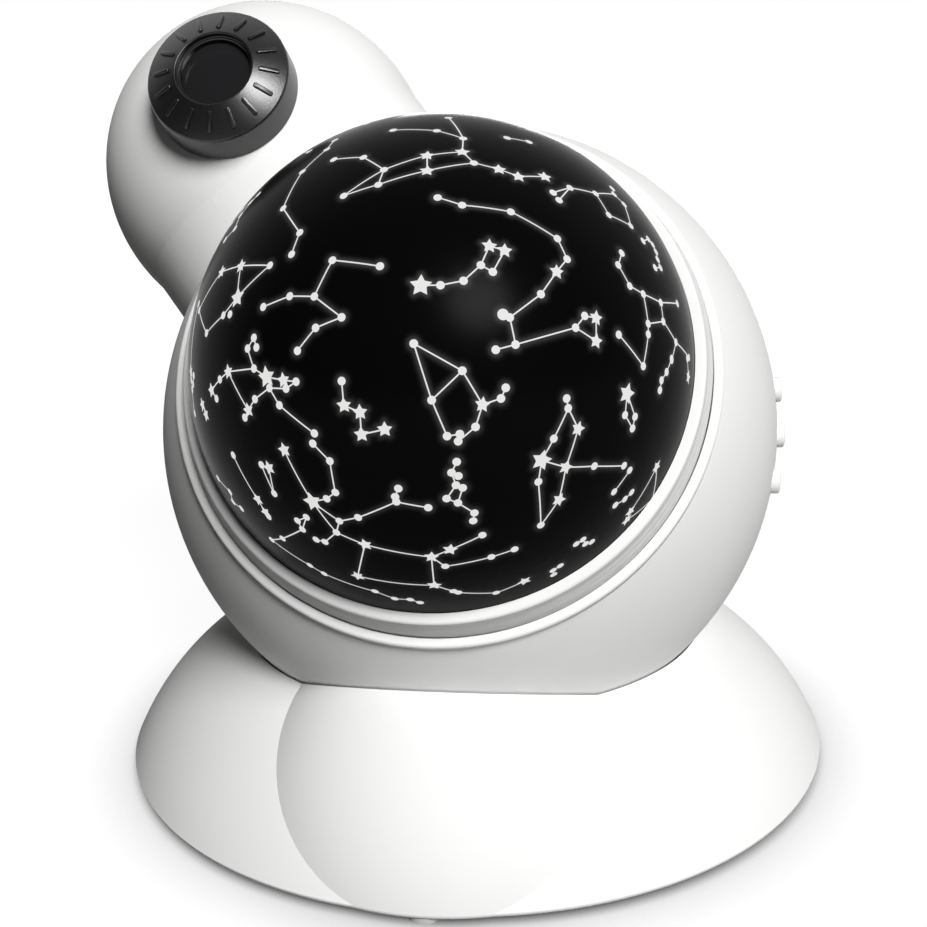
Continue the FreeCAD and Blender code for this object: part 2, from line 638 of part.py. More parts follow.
# bottom plate, with counterbores for its screws and a thread for the clamp bolt
plate_rings = [(x, y, "screw_shank + pilot_clearance")
               for x, y in round_places("base_screw_circle", BASE_SCREWS)]
base_plate = padded("base_plate", "plate_thickness", rings=[("0", "0", "plate_radius")]
                    + plate_rings + [("0", "0", "clamp_bolt_radius + pilot_clearance")],
                    lift="foot_height")
padded("plate_sinks", "screw_head_height", rings=[(x, y, "screw_head + sink_clearance") for x, y in
       round_places("base_screw_circle", BASE_SCREWS)], lift="foot_height + screw_head_height",
       body=base_plate, feature="Pocket")
keep(base_plate)


def loose_set(name, pieces):
    """Several separate solids of one kind in one node."""
    group = doc.addObject("Part::Compound", name)
    group.Links = pieces
    return group


def screws(name, places, seat, length="screw_length"):
    """Self-tapping screws in one node; the shanks point up from the seat."""
    made = []
    for i, (x, y) in enumerate(places):
        shank = cylinder("%s_shank_%d" % (name, i), "screw_shank", length, x, y, seat)
        head = cylinder("%s_head_%d" % (name, i), "screw_head", "screw_head_height", x, y,
                        "(%s) - screw_head_height" % seat)
        made.append(joined("%s_%d" % (name, i), shank, head))
    return loose_set(name, made)


keep(screws("base_screws", round_places("base_screw_circle", BASE_SCREWS),
            "foot_height + screw_head_height"))
keep(loose_set("rubber_feet", [cylinder("foot_%d" % i, "foot_radius", "foot_height", x, y)
                               for i, (x, y) in
                               enumerate(round_places("foot_circle", ("-90", "30", "150")))]))

# tilt clamp: a stem on the bottom plate, through the ball's slot, with a
# spring-loaded shoe inside the ball
keep(turned("tilt_stem", [
    ("clamp_bolt_radius + pilot_clearance", "plate_top"),
    ("stem_radius + stem_foot_width", "plate_top"),
    ("stem_radius + stem_foot_width", "plate_top + stem_foot_height"),
    ("stem_radius", "plate_top + stem_foot_height + stem_foot_slope"),
    ("stem_radius", "stem_top"),
    ("clamp_bolt_radius + pilot_clearance", "stem_top"),
]))


def shoe_floor(radius):
    """Height of the shoe's underside at a radius; it follows the ball's inner wall."""
    return "ball_centre_height - sqrt((inner_radius - shoe_gap)^2 - (%s)^2)" % radius


keep(turned("tilt_shoe", [
    ("stem_radius", shoe_floor("stem_radius")),
    ("shoe_radius", shoe_floor("shoe_radius"), "<inner_radius - shoe_gap"),
    ("shoe_radius", shoe_floor("shoe_radius") + " + shoe_thickness"),
    ("stem_radius", "stem_top"),
]))
keep(turned("spring_washer", [
    ("clamp_bolt_radius + pilot_clearance", "stem_top"),
    ("stem_radius + spring_washer_lap", "stem_top"),
    ("stem_radius + spring_washer_lap", "clamp_top"),
    ("clamp_bolt_radius + pilot_clearance", "clamp_top"),
]))
keep(turned("clamp_bolt", [
    ("0", "foot_height + clamp_recess"),
    ("clamp_bolt_radius", "foot_height + clamp_recess"),
    ("clamp_bolt_radius", "clamp_top"),
    ("clamp_head_radius", "clamp_top"),
    ("clamp_head_radius", "clamp_top + clamp_head_height - clamp_head_bevel"),
    ("clamp_head_radius - clamp_head_bevel", "clamp_top + clamp_head_height"),
    ("0", "clamp_top + clamp_head_height"),
]))

# -------------------------------------------------------------- ball shells
def neck(name, inset):
    """The neck: an oval bar from the ball's centre to the head's."""
    oval = doc.addObject("Part::Ellipse", name + "_section")
    sideways = Rotation(Vector(0, 0, 1), number("270 - head_angle"))
    oval.Placement = Placement(Vector(), sideways * Rotation(Vector(1, 0, 0), 90))
    bind(oval, MajorRadius="neck_radius - %s" % inset, MinorRadius="neck_depth - %s" % inset)
    bar = doc.addObject("Part::Extrusion", name)
    bar.Base = oval
    bar.DirMode = "Custom"
    bar.Solid = True
    return bind(bar, Dir__x="-cos(head_angle)", Dir__y="sin(head_angle)", Dir__z="0",
                LengthFwd="head_reach")


outer_form = joined("outer_form", sphere("ball_form", "ball_radius"),
                    neck("neck_form", "0"),
                    sphere("head_form", "head_radius", "head_x", "head_y"))
inner_form = joined("inner_form", sphere("ball_hollow", "inner_radius"),
                    neck("neck_hollow", "shell_wall"),
                    sphere("head_hollow", "head_inner", "head_x", "head_y"))
skin = cut("skin_form", outer_form, inner_form)

front_half = block("front_half", "-far", "-far", "0", "2 * far", "2 * far", "far")
rear_half = block("rear_half", "-far", "-far", "-far", "2 * far", "2 * far", "far")

SHELL_SCREWS = ("50", "-55", "-125", "178")
boss_places = round_places("boss_circle", SHELL_SCREWS)
lip = turned("opening_lip", [
    ("opening_radius - root", "sqrt(wall_middle^2 - lip_radius^2) - root"),
    ("lip_radius", "sqrt(wall_middle^2 - lip_radius^2) - root"),
    ("lip_radius", "lip_level - lip_round"),
    ("lip_radius - lip_round", "lip_level", "<lip_round"),
    ("opening_radius - root", "lip_level"),
])
ledge = turned("chassis_ledge", [
    ("chassis_seat - ledge_width", "chassis_level"),
    ("sqrt(wall_middle^2 - chassis_level^2)", "chassis_level"),
    ("sqrt(wall_middle^2 - ledge_top_level^2)", "ledge_top_level", "<wall_middle"),
    ("chassis_seat - ledge_width", "ledge_top_level"),
])
front_bosses = shared("front_bosses", outer_form, joined("front_boss_rods", *[
    cylinder("front_boss_%d" % i, "boss_radius", "boss_height", x, y, "0")
    for i, (x, y) in enumerate(boss_places)]))

# buttons: three caps in a column on the right, moving along X
BUTTON_PLACES = {"button_upper": "button_shift + button_pitch", "button_middle": "button_shift",
                 "button_lower": "button_shift - button_pitch"}
BOARD_ENDS = ("button_shift + button_board_length / 2 - board_post_inset",
              "button_shift - button_board_length / 2 + board_post_inset")


def along_x(name, radius, length, x, y, z):
    rod = cylinder(name, radius, length)
    rod.Placement.Rotation = Rotation(Vector(0, 1, 0), 90)
    return bind(rod, Placement__Base__x=x, Placement__Base__y=y, Placement__Base__z=z)


def along_y(name, radius, length, y, z):
    rod = cylinder(name, radius, length)
    rod.Placement.Rotation = Rotation(Vector(1, 0, 0), -90)
    return bind(rod, Placement__Base__y=y, Placement__Base__z=z)


board_posts = [along_x("board_post_%d" % i, "board_post_radius",
                       "sqrt(wall_middle^2 - (%s)^2 - button_level^2) - board_face" % y,
                       "board_face", y, "button_level") for i, y in enumerate(BOARD_ENDS)]
button_holes = [along_x("hole_" + name, "button_radius + button_clearance", "ball_radius",
                        "board_face", y, "button_level") for name, y in BUTTON_PLACES.items()]
guide_hole = cylinder("guide_hole", "guide_radius", "far", "head_x", "head_y", "guide_foot")
opening = cylinder("dome_opening", "opening_radius", "far", z="ledge_top_level + root")
front_pilots = [cylinder("front_pilot_%d" % i, "screw_shank + pilot_clearance",
                         "boss_height + 2 * overrun", x, y, "-overrun")
                for i, (x, y) in enumerate(boss_places)]
CHASSIS_SCREWS = ("90", "-30", "210")
chassis_places = round_places("chassis_screw_circle", CHASSIS_SCREWS)
ledge_pilots = [cylinder("ledge_pilot_%d" % i, "screw_shank + pilot_clearance",
                         "short_screw_length + pilot_room", x, y, "chassis_floor")
                for i, (x, y) in enumerate(chassis_places)]
front_bodies = joined("front_bodies", shared("front_skin", skin, front_half), lip, ledge,
                      front_bosses, *board_posts)
front_tools = joined("front_tools", opening, guide_hole, *(button_holes + front_pilots
                                                           + ledge_pilots))
ball_front_shell = cut("ball_front_shell", front_bodies, front_tools)
keep(seat_in_ball(ball_front_shell))

# rear shell: screw bosses with wells, the tilt slot, the disc slot, the
# battery opening
rear_bosses = shared("rear_bosses", outer_form, joined("rear_boss_rods", *[
    cylinder("rear_boss_%d" % i, "boss_radius", "far", x, y, "-far")
    for i, (x, y) in enumerate(boss_places)]))
wells = [cylinder("screw_well_%d" % i, "screw_well", "far", x, y, "-seat_depth - far")
         for i, (x, y) in enumerate(boss_places)]
rear_pilots = [cylinder("rear_pilot_%d" % i, "screw_shank + pilot_clearance",
                        "seat_depth + 2 * overrun", x, y, "-seat_depth - overrun")
               for i, (x, y) in enumerate(boss_places)]
STEM_SWEEP = "asin((stem_radius + slot_clearance) / inner_radius) / 1 deg"
tilt_slot = padded("tilt_slot", "2 * (stem_radius + slot_clearance)", loops=[[
    ("0", "0"),
    ("-far * sin(tilt_down + %s)" % STEM_SWEEP, "-far * cos(tilt_down + %s)" % STEM_SWEEP),
    ("far * sin(tilt_up + %s)" % STEM_SWEEP, "-far * cos(tilt_up + %s)" % STEM_SWEEP),
]], role="YZ_Plane", both_ways=True)
seat_level(tilt_slot)

DOOR_W = "cells_width / 2 + door_lap"
DOOR_H = "cells_height / 2 + door_lap"
door_opening = padded("door_opening", "far - tray_floor", loops=[rounded(DOOR_W, DOOR_H,
                                                                         "door_corner")],
                      role="XZ_Plane", lift="-far")
seat_level(door_opening)
disc_slot = doc.addObject("Part::Box", "disc_slot")
disc_slot.Placement = Placement(Vector(), Rotation(Vector(0, 0, 1), number("180 - head_angle")))
bind(disc_slot, Length="head_radius", Width="slot_width", Height="slot_height",
     Placement__Base__x="head_x - (head_inner - slot_depth) * cos(head_angle)"
     " + slot_width / 2 * sin(head_angle)",
     Placement__Base__y="head_y + (head_inner - slot_depth) * sin(head_angle)"
     " + slot_width / 2 * cos(head_angle)",
     Placement__Base__z="disc_level + disc_thickness / 2 - slot_height / 2")
rear_bodies = joined("rear_bodies", shared("rear_skin", skin, rear_half), rear_bosses)
rear_tools = joined("rear_tools", tilt_slot, door_opening, disc_slot, *(wells + rear_pilots))
keep(seat_in_ball(cut("ball_rear_shell", rear_bodies, rear_tools)))
keep(seat_in_ball(screws("shell_screws", boss_places, "-seat_depth", "long_screw_length")))

# ----------------------------------------------------- dome, collar, turntable
DOME_IN = "dome_radius - dome_wall"
keep(seat_in_ball(turned("star_dome", [
    ("dome_radius", "dome_level"),
    ("0", "dome_level + dome_radius", "<dome_radius"),
    ("0", "dome_level + %s" % DOME_IN),
    (DOME_IN, "dome_level", ">" + DOME_IN),
])))
SEAT_R = "dome_radius + dome_clearance"
keep(seat_in_ball(turned("dome_collar", [
    ("dome_radius - dome_ledge", "dome_level - dome_ledge_thickness"),
    ("collar_radius - collar_wall", "dome_level - dome_ledge_thickness"),
    ("collar_radius - collar_wall", "turntable_top"),
    ("collar_radius", "turntable_top"),
    ("collar_radius", "collar_knee_level"),
    ("collar_crown_radius", "collar_crown_level - collar_round"),
    ("collar_crown_radius - collar_round", "collar_crown_level", "<collar_round"),
    (SEAT_R, "collar_crown_level"),
    (SEAT_R, "dome_level"),
    ("dome_radius - dome_ledge", "dome_level"),
])))
turntable = turned("turntable", [
    ("hub_radius + hub_fit", "turntable_level"),
    ("turntable_radius", "turntable_level"),
    ("turntable_radius", "turntable_top"),
    ("hub_radius + hub_fit", "turntable_top"),
])
keep(seat_in_ball(turntable))


PRESSURE_ANGLE = math.radians(20)
ROOT_DEPTH = 1.25
FLANK_STEPS = 3


def involute_gear(name, teeth, bore, face, backlash, turn):
    """A spur gear with involute flanks, spun about Z from level 0."""
    count = int(round(number(teeth)))
    module = number("tooth_module")
    pitch = module * count / 2
    base_circle = pitch * math.cos(PRESSURE_ANGLE)
    tip = pitch + module
    root = pitch - ROOT_DEPTH * module
    half_tooth = (math.pi * module / 2 - number(backlash)) / (2 * pitch)

    def half_angle(radius):
        """Half of the tooth's thickness at a radius, as an angle."""
        def involute(r):
            t = math.sqrt(max((r / base_circle) ** 2 - 1, 0))
            return t - math.atan(t)
        return half_tooth + involute(pitch) - involute(max(radius, base_circle))

    start = max(root, base_circle)
    radii = [start + (tip - start) * k / FLANK_STEPS for k in range(FLANK_STEPS + 1)]
    points = []
    for i in range(count):
        middle = 2 * math.pi * i / count + math.radians(turn)
        flank = [(root, half_angle(radii[0]))] if root < radii[0] - 1e-6 else []
        flank += [(r, half_angle(r)) for r in radii]
        for r, a in flank:
            points.append(Vector(r * math.cos(middle - a), r * math.sin(middle - a), 0))
        for r, a in reversed(flank):
            points.append(Vector(r * math.cos(middle + a), r * math.sin(middle + a), 0))
    wire = Part.makePolygon(points + [points[0]])
    shape = Part.Face(wire).extrude(Vector(0, 0, number(face)))
    if number(bore) > 0:
        shape = shape.cut(Part.makeCylinder(number(bore), number(face)))
    gear = doc.addObject("Part::Feature", name)
    gear.Shape = shape
    return gear


ring_gear = involute_gear("ring_gear", "wheel_teeth", "wheel_bore", "gear_face", "gear_backlash",
                          number("pinion_angle"))
keep(seat_in_ball(ring_gear, z="wheel_level"))
# a tooth of the wheel faces the pinion, so a gap of the pinion faces the wheel
pinion_turn = number("pinion_angle") + 180 + 180 / number("pinion_teeth")
pinion_teeth = involute_gear("pinion_teeth_form", "pinion_teeth", "0", "gear_face", "gear_backlash",
                             pinion_turn)
SHAFT_FOOT = "chassis_floor - motor_length / 2 - wheel_level"
pinion_shaft = cylinder("pinion_shaft", "shaft_radius",
                        "gear_face - pinion_drop - (%s)" % SHAFT_FOOT, z=SHAFT_FOOT)
pinion_hub = cylinder("pinion_hub", "pinion_hub_radius",
                      "wheel_level - chassis_level - pinion_lift",
                      z="chassis_level + pinion_lift - wheel_level")
pinion_trim = block("pinion_trim", "-far", "-far", "gear_face - pinion_drop", "2 * far",
                    "2 * far", "far")
keep(seat_in_ball(cut("drive_pinion", joined("pinion_bodies", pinion_teeth, pinion_shaft,
                                             pinion_hub), pinion_trim),
                  "pinion_x", "pinion_y", "wheel_level"))

# ------------------------------------------------------------------ chassis
standoff_places = [("main_board_x %s (main_board_width / 2 - standoff_inset)" % sx,
                    "main_board_y %s (main_board_depth / 2 - standoff_inset)" % sy)
                   for sx in "+-" for sy in "+-"]
chassis = new_body("chassis_plate")
padded("chassis_disc", "chassis_thickness", rings=[
    ("0", "0", "chassis_radius"), ("0", "0", "lamp_post_radius"),
    ("pinion_x", "pinion_y", "shaft_radius + shaft_room")]
    + [(x, y, "screw_shank + pilot_clearance") for x, y in chassis_places],
    lift="chassis_floor", body=chassis)
padded("bearing_boss", "turntable_top + track_gap + retainer_thickness - chassis_level",
       rings=[("0", "0", "hub_radius"), ("0", "0", "lamp_post_radius")], lift="chassis_level",
       body=chassis)
padded("turntable_track", "turntable_level - track_gap - chassis_level",
       rings=[("0", "0", "track_radius + track_width"), ("0", "0", "track_radius")],
       lift="chassis_level", body=chassis)
for i, (x, y) in enumerate(standoff_places):
    padded("standoff_%d" % i, "standoff_height", rings=[(x, y, "standoff_radius")],
           lift="chassis_floor - standoff_height", body=chassis)
keep(seat_in_ball(chassis))
keep(seat_in_ball(screws("chassis_screws", chassis_places, "chassis_floor",
                         "short_screw_length")))
keep(seat_in_ball(turned("turntable_retainer", [
    ("hub_radius", "turntable_top + track_gap"),
    ("retainer_radius", "turntable_top + track_gap"),
    ("retainer_radius", "turntable_top + track_gap + retainer_thickness"),
    ("hub_radius", "turntable_top + track_gap + retainer_thickness"),
])))
gear_motor = turned("gear_motor", [
    ("shaft_radius + shaft_fit", "0"),
    ("motor_radius", "0"),
    ("motor_radius", "-gearbox_share * motor_length"),
    ("motor_radius - gearbox_step", "-gearbox_share * motor_length"),
    ("motor_radius - gearbox_step", "-motor_length"),
    ("motor_cap_radius", "-motor_length"),
    ("motor_cap_radius", "-motor_length - motor_cap_height"),
    ("0", "-motor_length - motor_cap_height"),
    ("0", "-motor_length / 2 - shaft_end_gap"),
    ("shaft_radius + shaft_fit", "-motor_length / 2 - shaft_end_gap"),
])
keep(seat_in_ball(gear_motor, "pinion_x", "pinion_y", "chassis_floor"))
keep(seat_in_ball(turned("lamp_post", [
    ("0", "chassis_floor - post_flange_height"),
    ("lamp_post_radius + post_flange_width", "chassis_floor - post_flange_height"),
    ("lamp_post_radius + post_flange_width", "chassis_floor"),
    ("lamp_post_radius", "chassis_floor"),
    ("lamp_post_radius", "lamp_foot"),
    ("0", "lamp_foot"),
])))
keep(seat_in_ball(turned("star_lamp", [
    ("0", "lamp_foot"),
    ("star_lamp_radius + lamp_flange_width", "lamp_foot"),
    ("star_lamp_radius + lamp_flange_width", "lamp_foot + lamp_flange_height"),
    ("star_lamp_radius", "lamp_foot + lamp_flange_height"),
    ("star_lamp_radius", "lamp_foot + star_lamp_length"),
    ("0", "lamp_foot + star_lamp_length + star_lamp_radius", "<star_lamp_radius"),
])))


def on_board(x, y, wide, deep):
    """An oblong by its middle, from the middle of the main board."""
    middle = ("main_board_x + %s" % x, "main_board_y + %s" % y)
    return rectangle("%s - %s / 2" % (middle[0], wide), "%s - %s / 2" % (middle[1], deep),
                     "%s + %s / 2" % (middle[0], wide), "%s + %s / 2" % (middle[1], deep))


main_board = padded("main_board", "board_thickness", loops=[
    on_board("0", "0", "main_board_width", "main_board_depth")],
    lift="chassis_floor - standoff_height - board_thickness")
padded("main_board_parts", "part_height", loops=[
    on_board("processor_x", "processor_y", "processor_side", "processor_side"),
    on_board("plug_x", "plug_y", "plug_length", "plug_width"),
    on_board("driver_x", "driver_y", "driver_width", "driver_length")],
    lift="chassis_floor - standoff_height - board_thickness - part_height", body=main_board)
keep(seat_in_ball(main_board))

# ------------------------------------------------------------------ buttons
for name, y in BUTTON_PLACES.items():
    flange_top = ("sqrt(inner_radius^2 - (abs(%s) + button_flange)^2"
                  " - (button_level + button_flange)^2) - flange_gap" % y)
    crown = "sqrt(ball_radius^2 - (%s)^2 - button_level^2) + button_proud" % y
    cap = turned(name, [
        ("switch_face + button_travel + plunger_gap", "0"),
        ("switch_face + button_travel + plunger_gap", "button_stem"),
        ("%s - button_flange_thickness" % flange_top, "button_stem"),
        ("%s - button_flange_thickness" % flange_top, "button_flange"),
        (flange_top, "button_flange"),
        (flange_top, "button_radius"),
        ("%s - button_round" % crown, "button_radius"),
        (crown, "button_radius - button_round", ">button_round"),
        (crown, "0"),
    ], axis="H_Axis", role="XY_Plane")
    keep(seat_in_ball(cap, "0", y, "button_level"))

button_board = padded("button_board", "board_thickness", loops=[rectangle(
    "button_shift - button_board_length / 2", "button_level - button_board_width / 2",
    "button_shift + button_board_length / 2", "button_level + button_board_width / 2")],
    lift="board_face - board_thickness", role="YZ_Plane")
padded("switch_bodies", "switch_height - plunger_height", loops=[rectangle(
    "%s - switch_side / 2" % y, "button_level - switch_side / 2",
    "%s + switch_side / 2" % y, "button_level + switch_side / 2")
    for y in BUTTON_PLACES.values()], lift="board_face", role="YZ_Plane", body=button_board)
padded("switch_plungers", "plunger_height", rings=[(y, "button_level", "plunger_radius")
                                                   for y in BUTTON_PLACES.values()],
       lift="switch_face - plunger_height", role="YZ_Plane", body=button_board)
keep(seat_in_ball(button_board))

# ------------------------------------------------------ battery compartment
TRAY_W = "cells_width / 2 + tray_rim"
TRAY_H = "cells_height / 2 + tray_rim"
tray_block = block("tray_block", "-(%s)" % TRAY_W, "tray_floor", "-(%s)" % TRAY_H,
                   "2 * (%s)" % TRAY_W, "far", "2 * (%s)" % TRAY_H)
tray_form = shared("tray_form", tray_block, sphere("tray_limit", "inner_radius"))
tray_pocket = block("tray_pocket", "-cells_width / 2", "tray_floor + tray_wall",
                    "-cells_height / 2", "cells_width", "far", "cells_height")
LUG_FLOOR = "cell_seat + 2 * cell_radius + lug_gap"
screw_lug = block("screw_lug", "-lug_width / 2", LUG_FLOOR, "door_screw_z - lug_height / 2",
                  "lug_width", "far", "lug_height")
lug_form = shared("lug_form", screw_lug, tray_form)
lug_bore = along_y("lug_bore", "screw_shank + pilot_clearance", "far", LUG_FLOOR, "door_screw_z")
keep(at_ball_centre(cut("battery_tray", joined("tray_walls", cut("tray_shell", tray_form,
                                                                 tray_pocket), lug_form),
                        lug_bore)))
cells = []
for i in range(4):
    z = "(%s - 1.5) * cell_pitch" % i
    body = along_x("cell_body_%d" % i, "cell_radius", "cell_length - cell_tip_length",
                   "-cell_length / 2", "cell_seat + cell_radius", z)
    tip = along_x("cell_tip_%d" % i, "cell_tip_radius", "cell_tip_length + root",
                  "cell_length / 2 - cell_tip_length - root", "cell_seat + cell_radius", z)
    cells.append(joined("cell_%d" % i, body, tip))
keep(at_ball_centre(loose_set("battery_cells", cells)))
contacts = []
for side, x in (("left", "-cells_width / 2"), ("right", "cells_width / 2 - contact_thickness")):
    for k in range(4):
        z = "(%s - 1.5) * cell_pitch" % k
        leaf = block("leaf_%s_%d" % (side, k), x, "cell_seat + contact_margin",
                     z + " - cell_radius + contact_margin", "contact_thickness",
                     "2 * (cell_radius - contact_margin)", "2 * (cell_radius - contact_margin)")
        if side == "left":
            spring = along_x("spring_%d" % k, "spring_radius", "contact_room - contact_gap",
                             "-cells_width / 2", "cell_seat + cell_radius", z)
            leaf = joined("contact_left_%d" % k, leaf, spring)
        else:
            bump = along_x("bump_%d" % k, "bump_radius", "contact_room - contact_gap",
                           "cells_width / 2 - contact_room + contact_gap",
                           "cell_seat + cell_radius", z)
            leaf = joined("contact_right_%d" % k, leaf, bump)
        contacts.append(leaf)
keep(at_ball_centre(loose_set("battery_contacts", contacts)))

door_block = padded("door_block", "far - tray_floor", loops=[rounded(
    DOOR_W + " - door_gap", DOOR_H + " - door_gap", "door_corner - door_gap")],
    role="XZ_Plane", lift="-far")
door_form = shared("door_form", cut("door_skin", sphere("door_outer", "ball_radius"),
                                    sphere("door_inner", "inner_radius")), door_block)
door_holes = joined("door_holes",
                    along_y("door_sink", "screw_head + sink_clearance", "far", "door_seat",
                            "door_screw_z"),
                    along_y("door_bore", "screw_shank + sink_clearance", "2 * screw_length",
                            "door_seat - screw_length", "door_screw_z"))
keep(at_ball_centre(cut("battery_door", door_form, door_holes)))
keep(at_ball_centre(joined("battery_door_screw",
                           along_y("door_screw_shank", "screw_shank", "screw_length",
                                   "door_seat - screw_length", "door_screw_z"),
                           along_y("door_screw_head", "screw_head", "screw_head_height",
                                   "door_seat", "door_screw_z"))))

# --------------------------------------------------------------------- head
keep(seat_in_ball(turned("focus_guide", [
    ("guide_bore", "guide_foot"),
    ("guide_radius", "guide_foot"),
    ("guide_radius", "guide_flange_level"),
    ("guide_flange_radius", "guide_flange_level"),
    ("guide_flange_radius", "sqrt(head_inner^2 - guide_flange_radius^2)"),
    ("guide_radius", "sqrt(head_inner^2 - guide_radius^2)", "<head_inner"),
    ("guide_radius", "guide_top"),
    ("guide_bore", "guide_top"),
]), "head_x", "head_y"))

HEAD_OUT = "(head_radius + knob_gap)"
knob = turned("focus_knob", [
    ("knob_bore", "sqrt(%s^2 - knob_bore^2)" % HEAD_OUT),
    ("knob_radius", "sqrt(%s^2 - knob_radius^2)" % HEAD_OUT, ">" + HEAD_OUT),
    ("knob_radius - knob_draft", "knob_shoulder - knob_edge"),
    ("knob_face_radius", "knob_shoulder", "<knob_edge"),
    ("knob_rim_radius", "knob_rim_level"),
    ("knob_rim_radius - rim_bevel", "knob_rim_level - rim_bevel_drop"),
    ("knob_rim_radius - rim_bevel", "knob_step_level"),
    ("knob_step_radius", "knob_step_level"),
    ("knob_step_radius", "window_seat"),
    ("knob_step_radius - window_lap", "window_seat"),
    ("knob_step_radius - window_lap", "knob_web_level"),
    ("knob_bore", "knob_web_level"),
])


def face_level(radius, extra):
    """Level of the knob's sloping face at a radius."""
    return ("knob_shoulder + (knob_face_radius - %s) * knob_rise"
            " / (knob_face_radius - knob_rim_radius) + %s" % (radius, extra))


rib_sketch = new_sketch(knob, "XZ_Plane", "rib_outline", [[
    ("rib_inner", face_level("rib_inner", "-root")),
    ("rib_outer", face_level("rib_outer", "-root")),
    ("rib_outer", face_level("rib_outer", "rib_rise")),
    ("rib_inner", face_level("rib_inner", "rib_rise")),
]])
rib = knob.newObject("PartDesign::Pad", "rib_pad")
rib.Profile = rib_sketch
rib.SideType = "Symmetric"
bind(rib, Length="rib_width")
doc.recompute()
ribs = knob.newObject("PartDesign::PolarPattern", "rib_pattern")
ribs.Originals = [rib]
ribs.Axis = (rib_sketch, ["V_Axis"])
ribs.Angle = 360
bind(ribs, Occurrences="rib_count")
knob.Tip = ribs
keep(seat_in_ball(knob, "head_x", "head_y"))


def crown_radius(half_width, swell):
    """Radius of an arc that swells by so much over a half width."""
    return "((%s)^2 + (%s)^2) / (2 * %s)" % (half_width, swell, swell)


keep(seat_in_ball(turned("lens_window", [
    ("0", "window_seat"),
    ("knob_step_radius", "window_seat"),
    ("knob_step_radius", "window_seat + window_thickness"),
    ("0", "window_seat + window_thickness + window_crown",
     "<" + crown_radius("knob_step_radius", "window_crown")),
]), "head_x", "head_y"))
keep(seat_in_ball(turned("lens_barrel", [
    ("lens_radius", "barrel_top"),
    ("lens_radius", "lens_seat"),
    ("lens_radius - lens_shelf", "lens_seat"),
    ("lens_radius - lens_shelf", "barrel_foot"),
    ("barrel_radius", "barrel_foot"),
    ("barrel_radius", "barrel_top"),
]), "head_x", "head_y"))
keep(seat_in_ball(turned("projection_lens", [
    ("0", "lens_seat - lens_crown / 2"),
    ("lens_radius - lens_shelf - lens_shelf_gap", "lens_seat"),
    ("lens_radius", "lens_seat"),
    ("lens_radius", "lens_seat + lens_thickness"),
    ("0", "lens_seat + lens_thickness + lens_crown",
     "<" + crown_radius("lens_radius", "lens_crown")),
]), "head_x", "head_y"))

disc = padded("picture_disc", "disc_thickness", rings=[
    ("0", "0", "disc_radius"), ("0", "0", "spindle_radius + disc_fit")], lift="disc_level")
window_sketch = new_sketch(disc, "XY_Plane", "picture_window",
                           rings=[("disc_offset * cos(head_angle)",
                                   "-disc_offset * sin(head_angle)", "frame_radius")],
                           lift="disc_level + disc_thickness")
window = disc.newObject("PartDesign::Pocket", "picture_window_cut")
window.Profile = window_sketch
bind(window, Length="2 * disc_thickness")
doc.recompute()
windows = disc.newObject("PartDesign::PolarPattern", "picture_window_pattern")
windows.Originals = [window]
windows.Axis = (window_sketch, ["N_Axis"])
windows.Angle = 360
bind(windows, Occurrences="frame_count")
disc.Tip = windows
keep(seat_in_ball(disc, "disc_x", "disc_y"))

carrier = cut("disc_carrier", cylinder("carrier_disc", "sqrt(head_inner^2 - carrier_floor^2)"
                                       " - carrier_clearance", "carrier_thickness", "head_x",
                                       "head_y", "carrier_floor"),
              joined("carrier_holes",
                     cylinder("carrier_gate", "frame_radius + gate_margin", "far", "head_x",
                              "head_y", "carrier_floor - overrun"),
                     cylinder("carrier_spindle_hole", "spindle_radius", "far", "disc_x",
                              "disc_y", "carrier_floor - overrun")))
keep(seat_in_ball(carrier))
SPINDLE_TOP = "disc_level + disc_thickness + spindle_gap"
keep(seat_in_ball(turned("disc_spindle", [
    ("0", "carrier_floor"),
    ("spindle_radius", "carrier_floor"),
    ("spindle_radius", SPINDLE_TOP),
    ("spindle_radius + spindle_head_width", SPINDLE_TOP),
    ("spindle_radius + spindle_head_width", SPINDLE_TOP + " + spindle_head_height"),
    ("0", SPINDLE_TOP + " + spindle_head_height + spindle_crown"),
]), "disc_x", "disc_y"))
keep(seat_in_ball(turned("lamp_tube", [
    ("tube_bore", "tube_foot"),
    ("lamp_tube_radius", "tube_foot"),
    ("lamp_tube_radius", "carrier_floor"),
    ("tube_bore", "carrier_floor"),
    ("tube_bore", "condenser_seat"),
    ("tube_bore - lens_shelf", "condenser_seat"),
    ("tube_bore - lens_shelf", "condenser_seat - condenser_shelf"),
    ("tube_bore", "condenser_seat - condenser_shelf"),
]), "head_x", "head_y"))
keep(seat_in_ball(turned("condenser_lens", [
    ("0", "condenser_seat"),
    ("tube_bore", "condenser_seat"),
    ("tube_bore", "condenser_seat + condenser_thickness"),
    ("0", "condenser_seat + condenser_thickness + condenser_crown",
     "<" + crown_radius("tube_bore", "condenser_crown")),
]), "head_x", "head_y"))
keep(seat_in_ball(turned("head_lamp_board", [
    ("0", "tube_foot - board_thickness"),
    ("lamp_tube_radius + lamp_board_lap", "tube_foot - board_thickness"),
    ("lamp_tube_radius + lamp_board_lap", "tube_foot"),
    ("0", "tube_foot"),
]), "head_x", "head_y"))
keep(seat_in_ball(turned("head_lamp", [
    ("0", "tube_foot"),
    ("head_lamp_radius + lamp_flange_width", "tube_foot"),
    ("head_lamp_radius + lamp_flange_width", "tube_foot + lamp_flange_height"),
    ("head_lamp_radius", "tube_foot + lamp_flange_height"),
    ("head_lamp_radius", "tube_foot + head_lamp_length"),
    ("0", "tube_foot + head_lamp_length + head_lamp_radius", "<head_lamp_radius"),
]), "head_x", "head_y"))

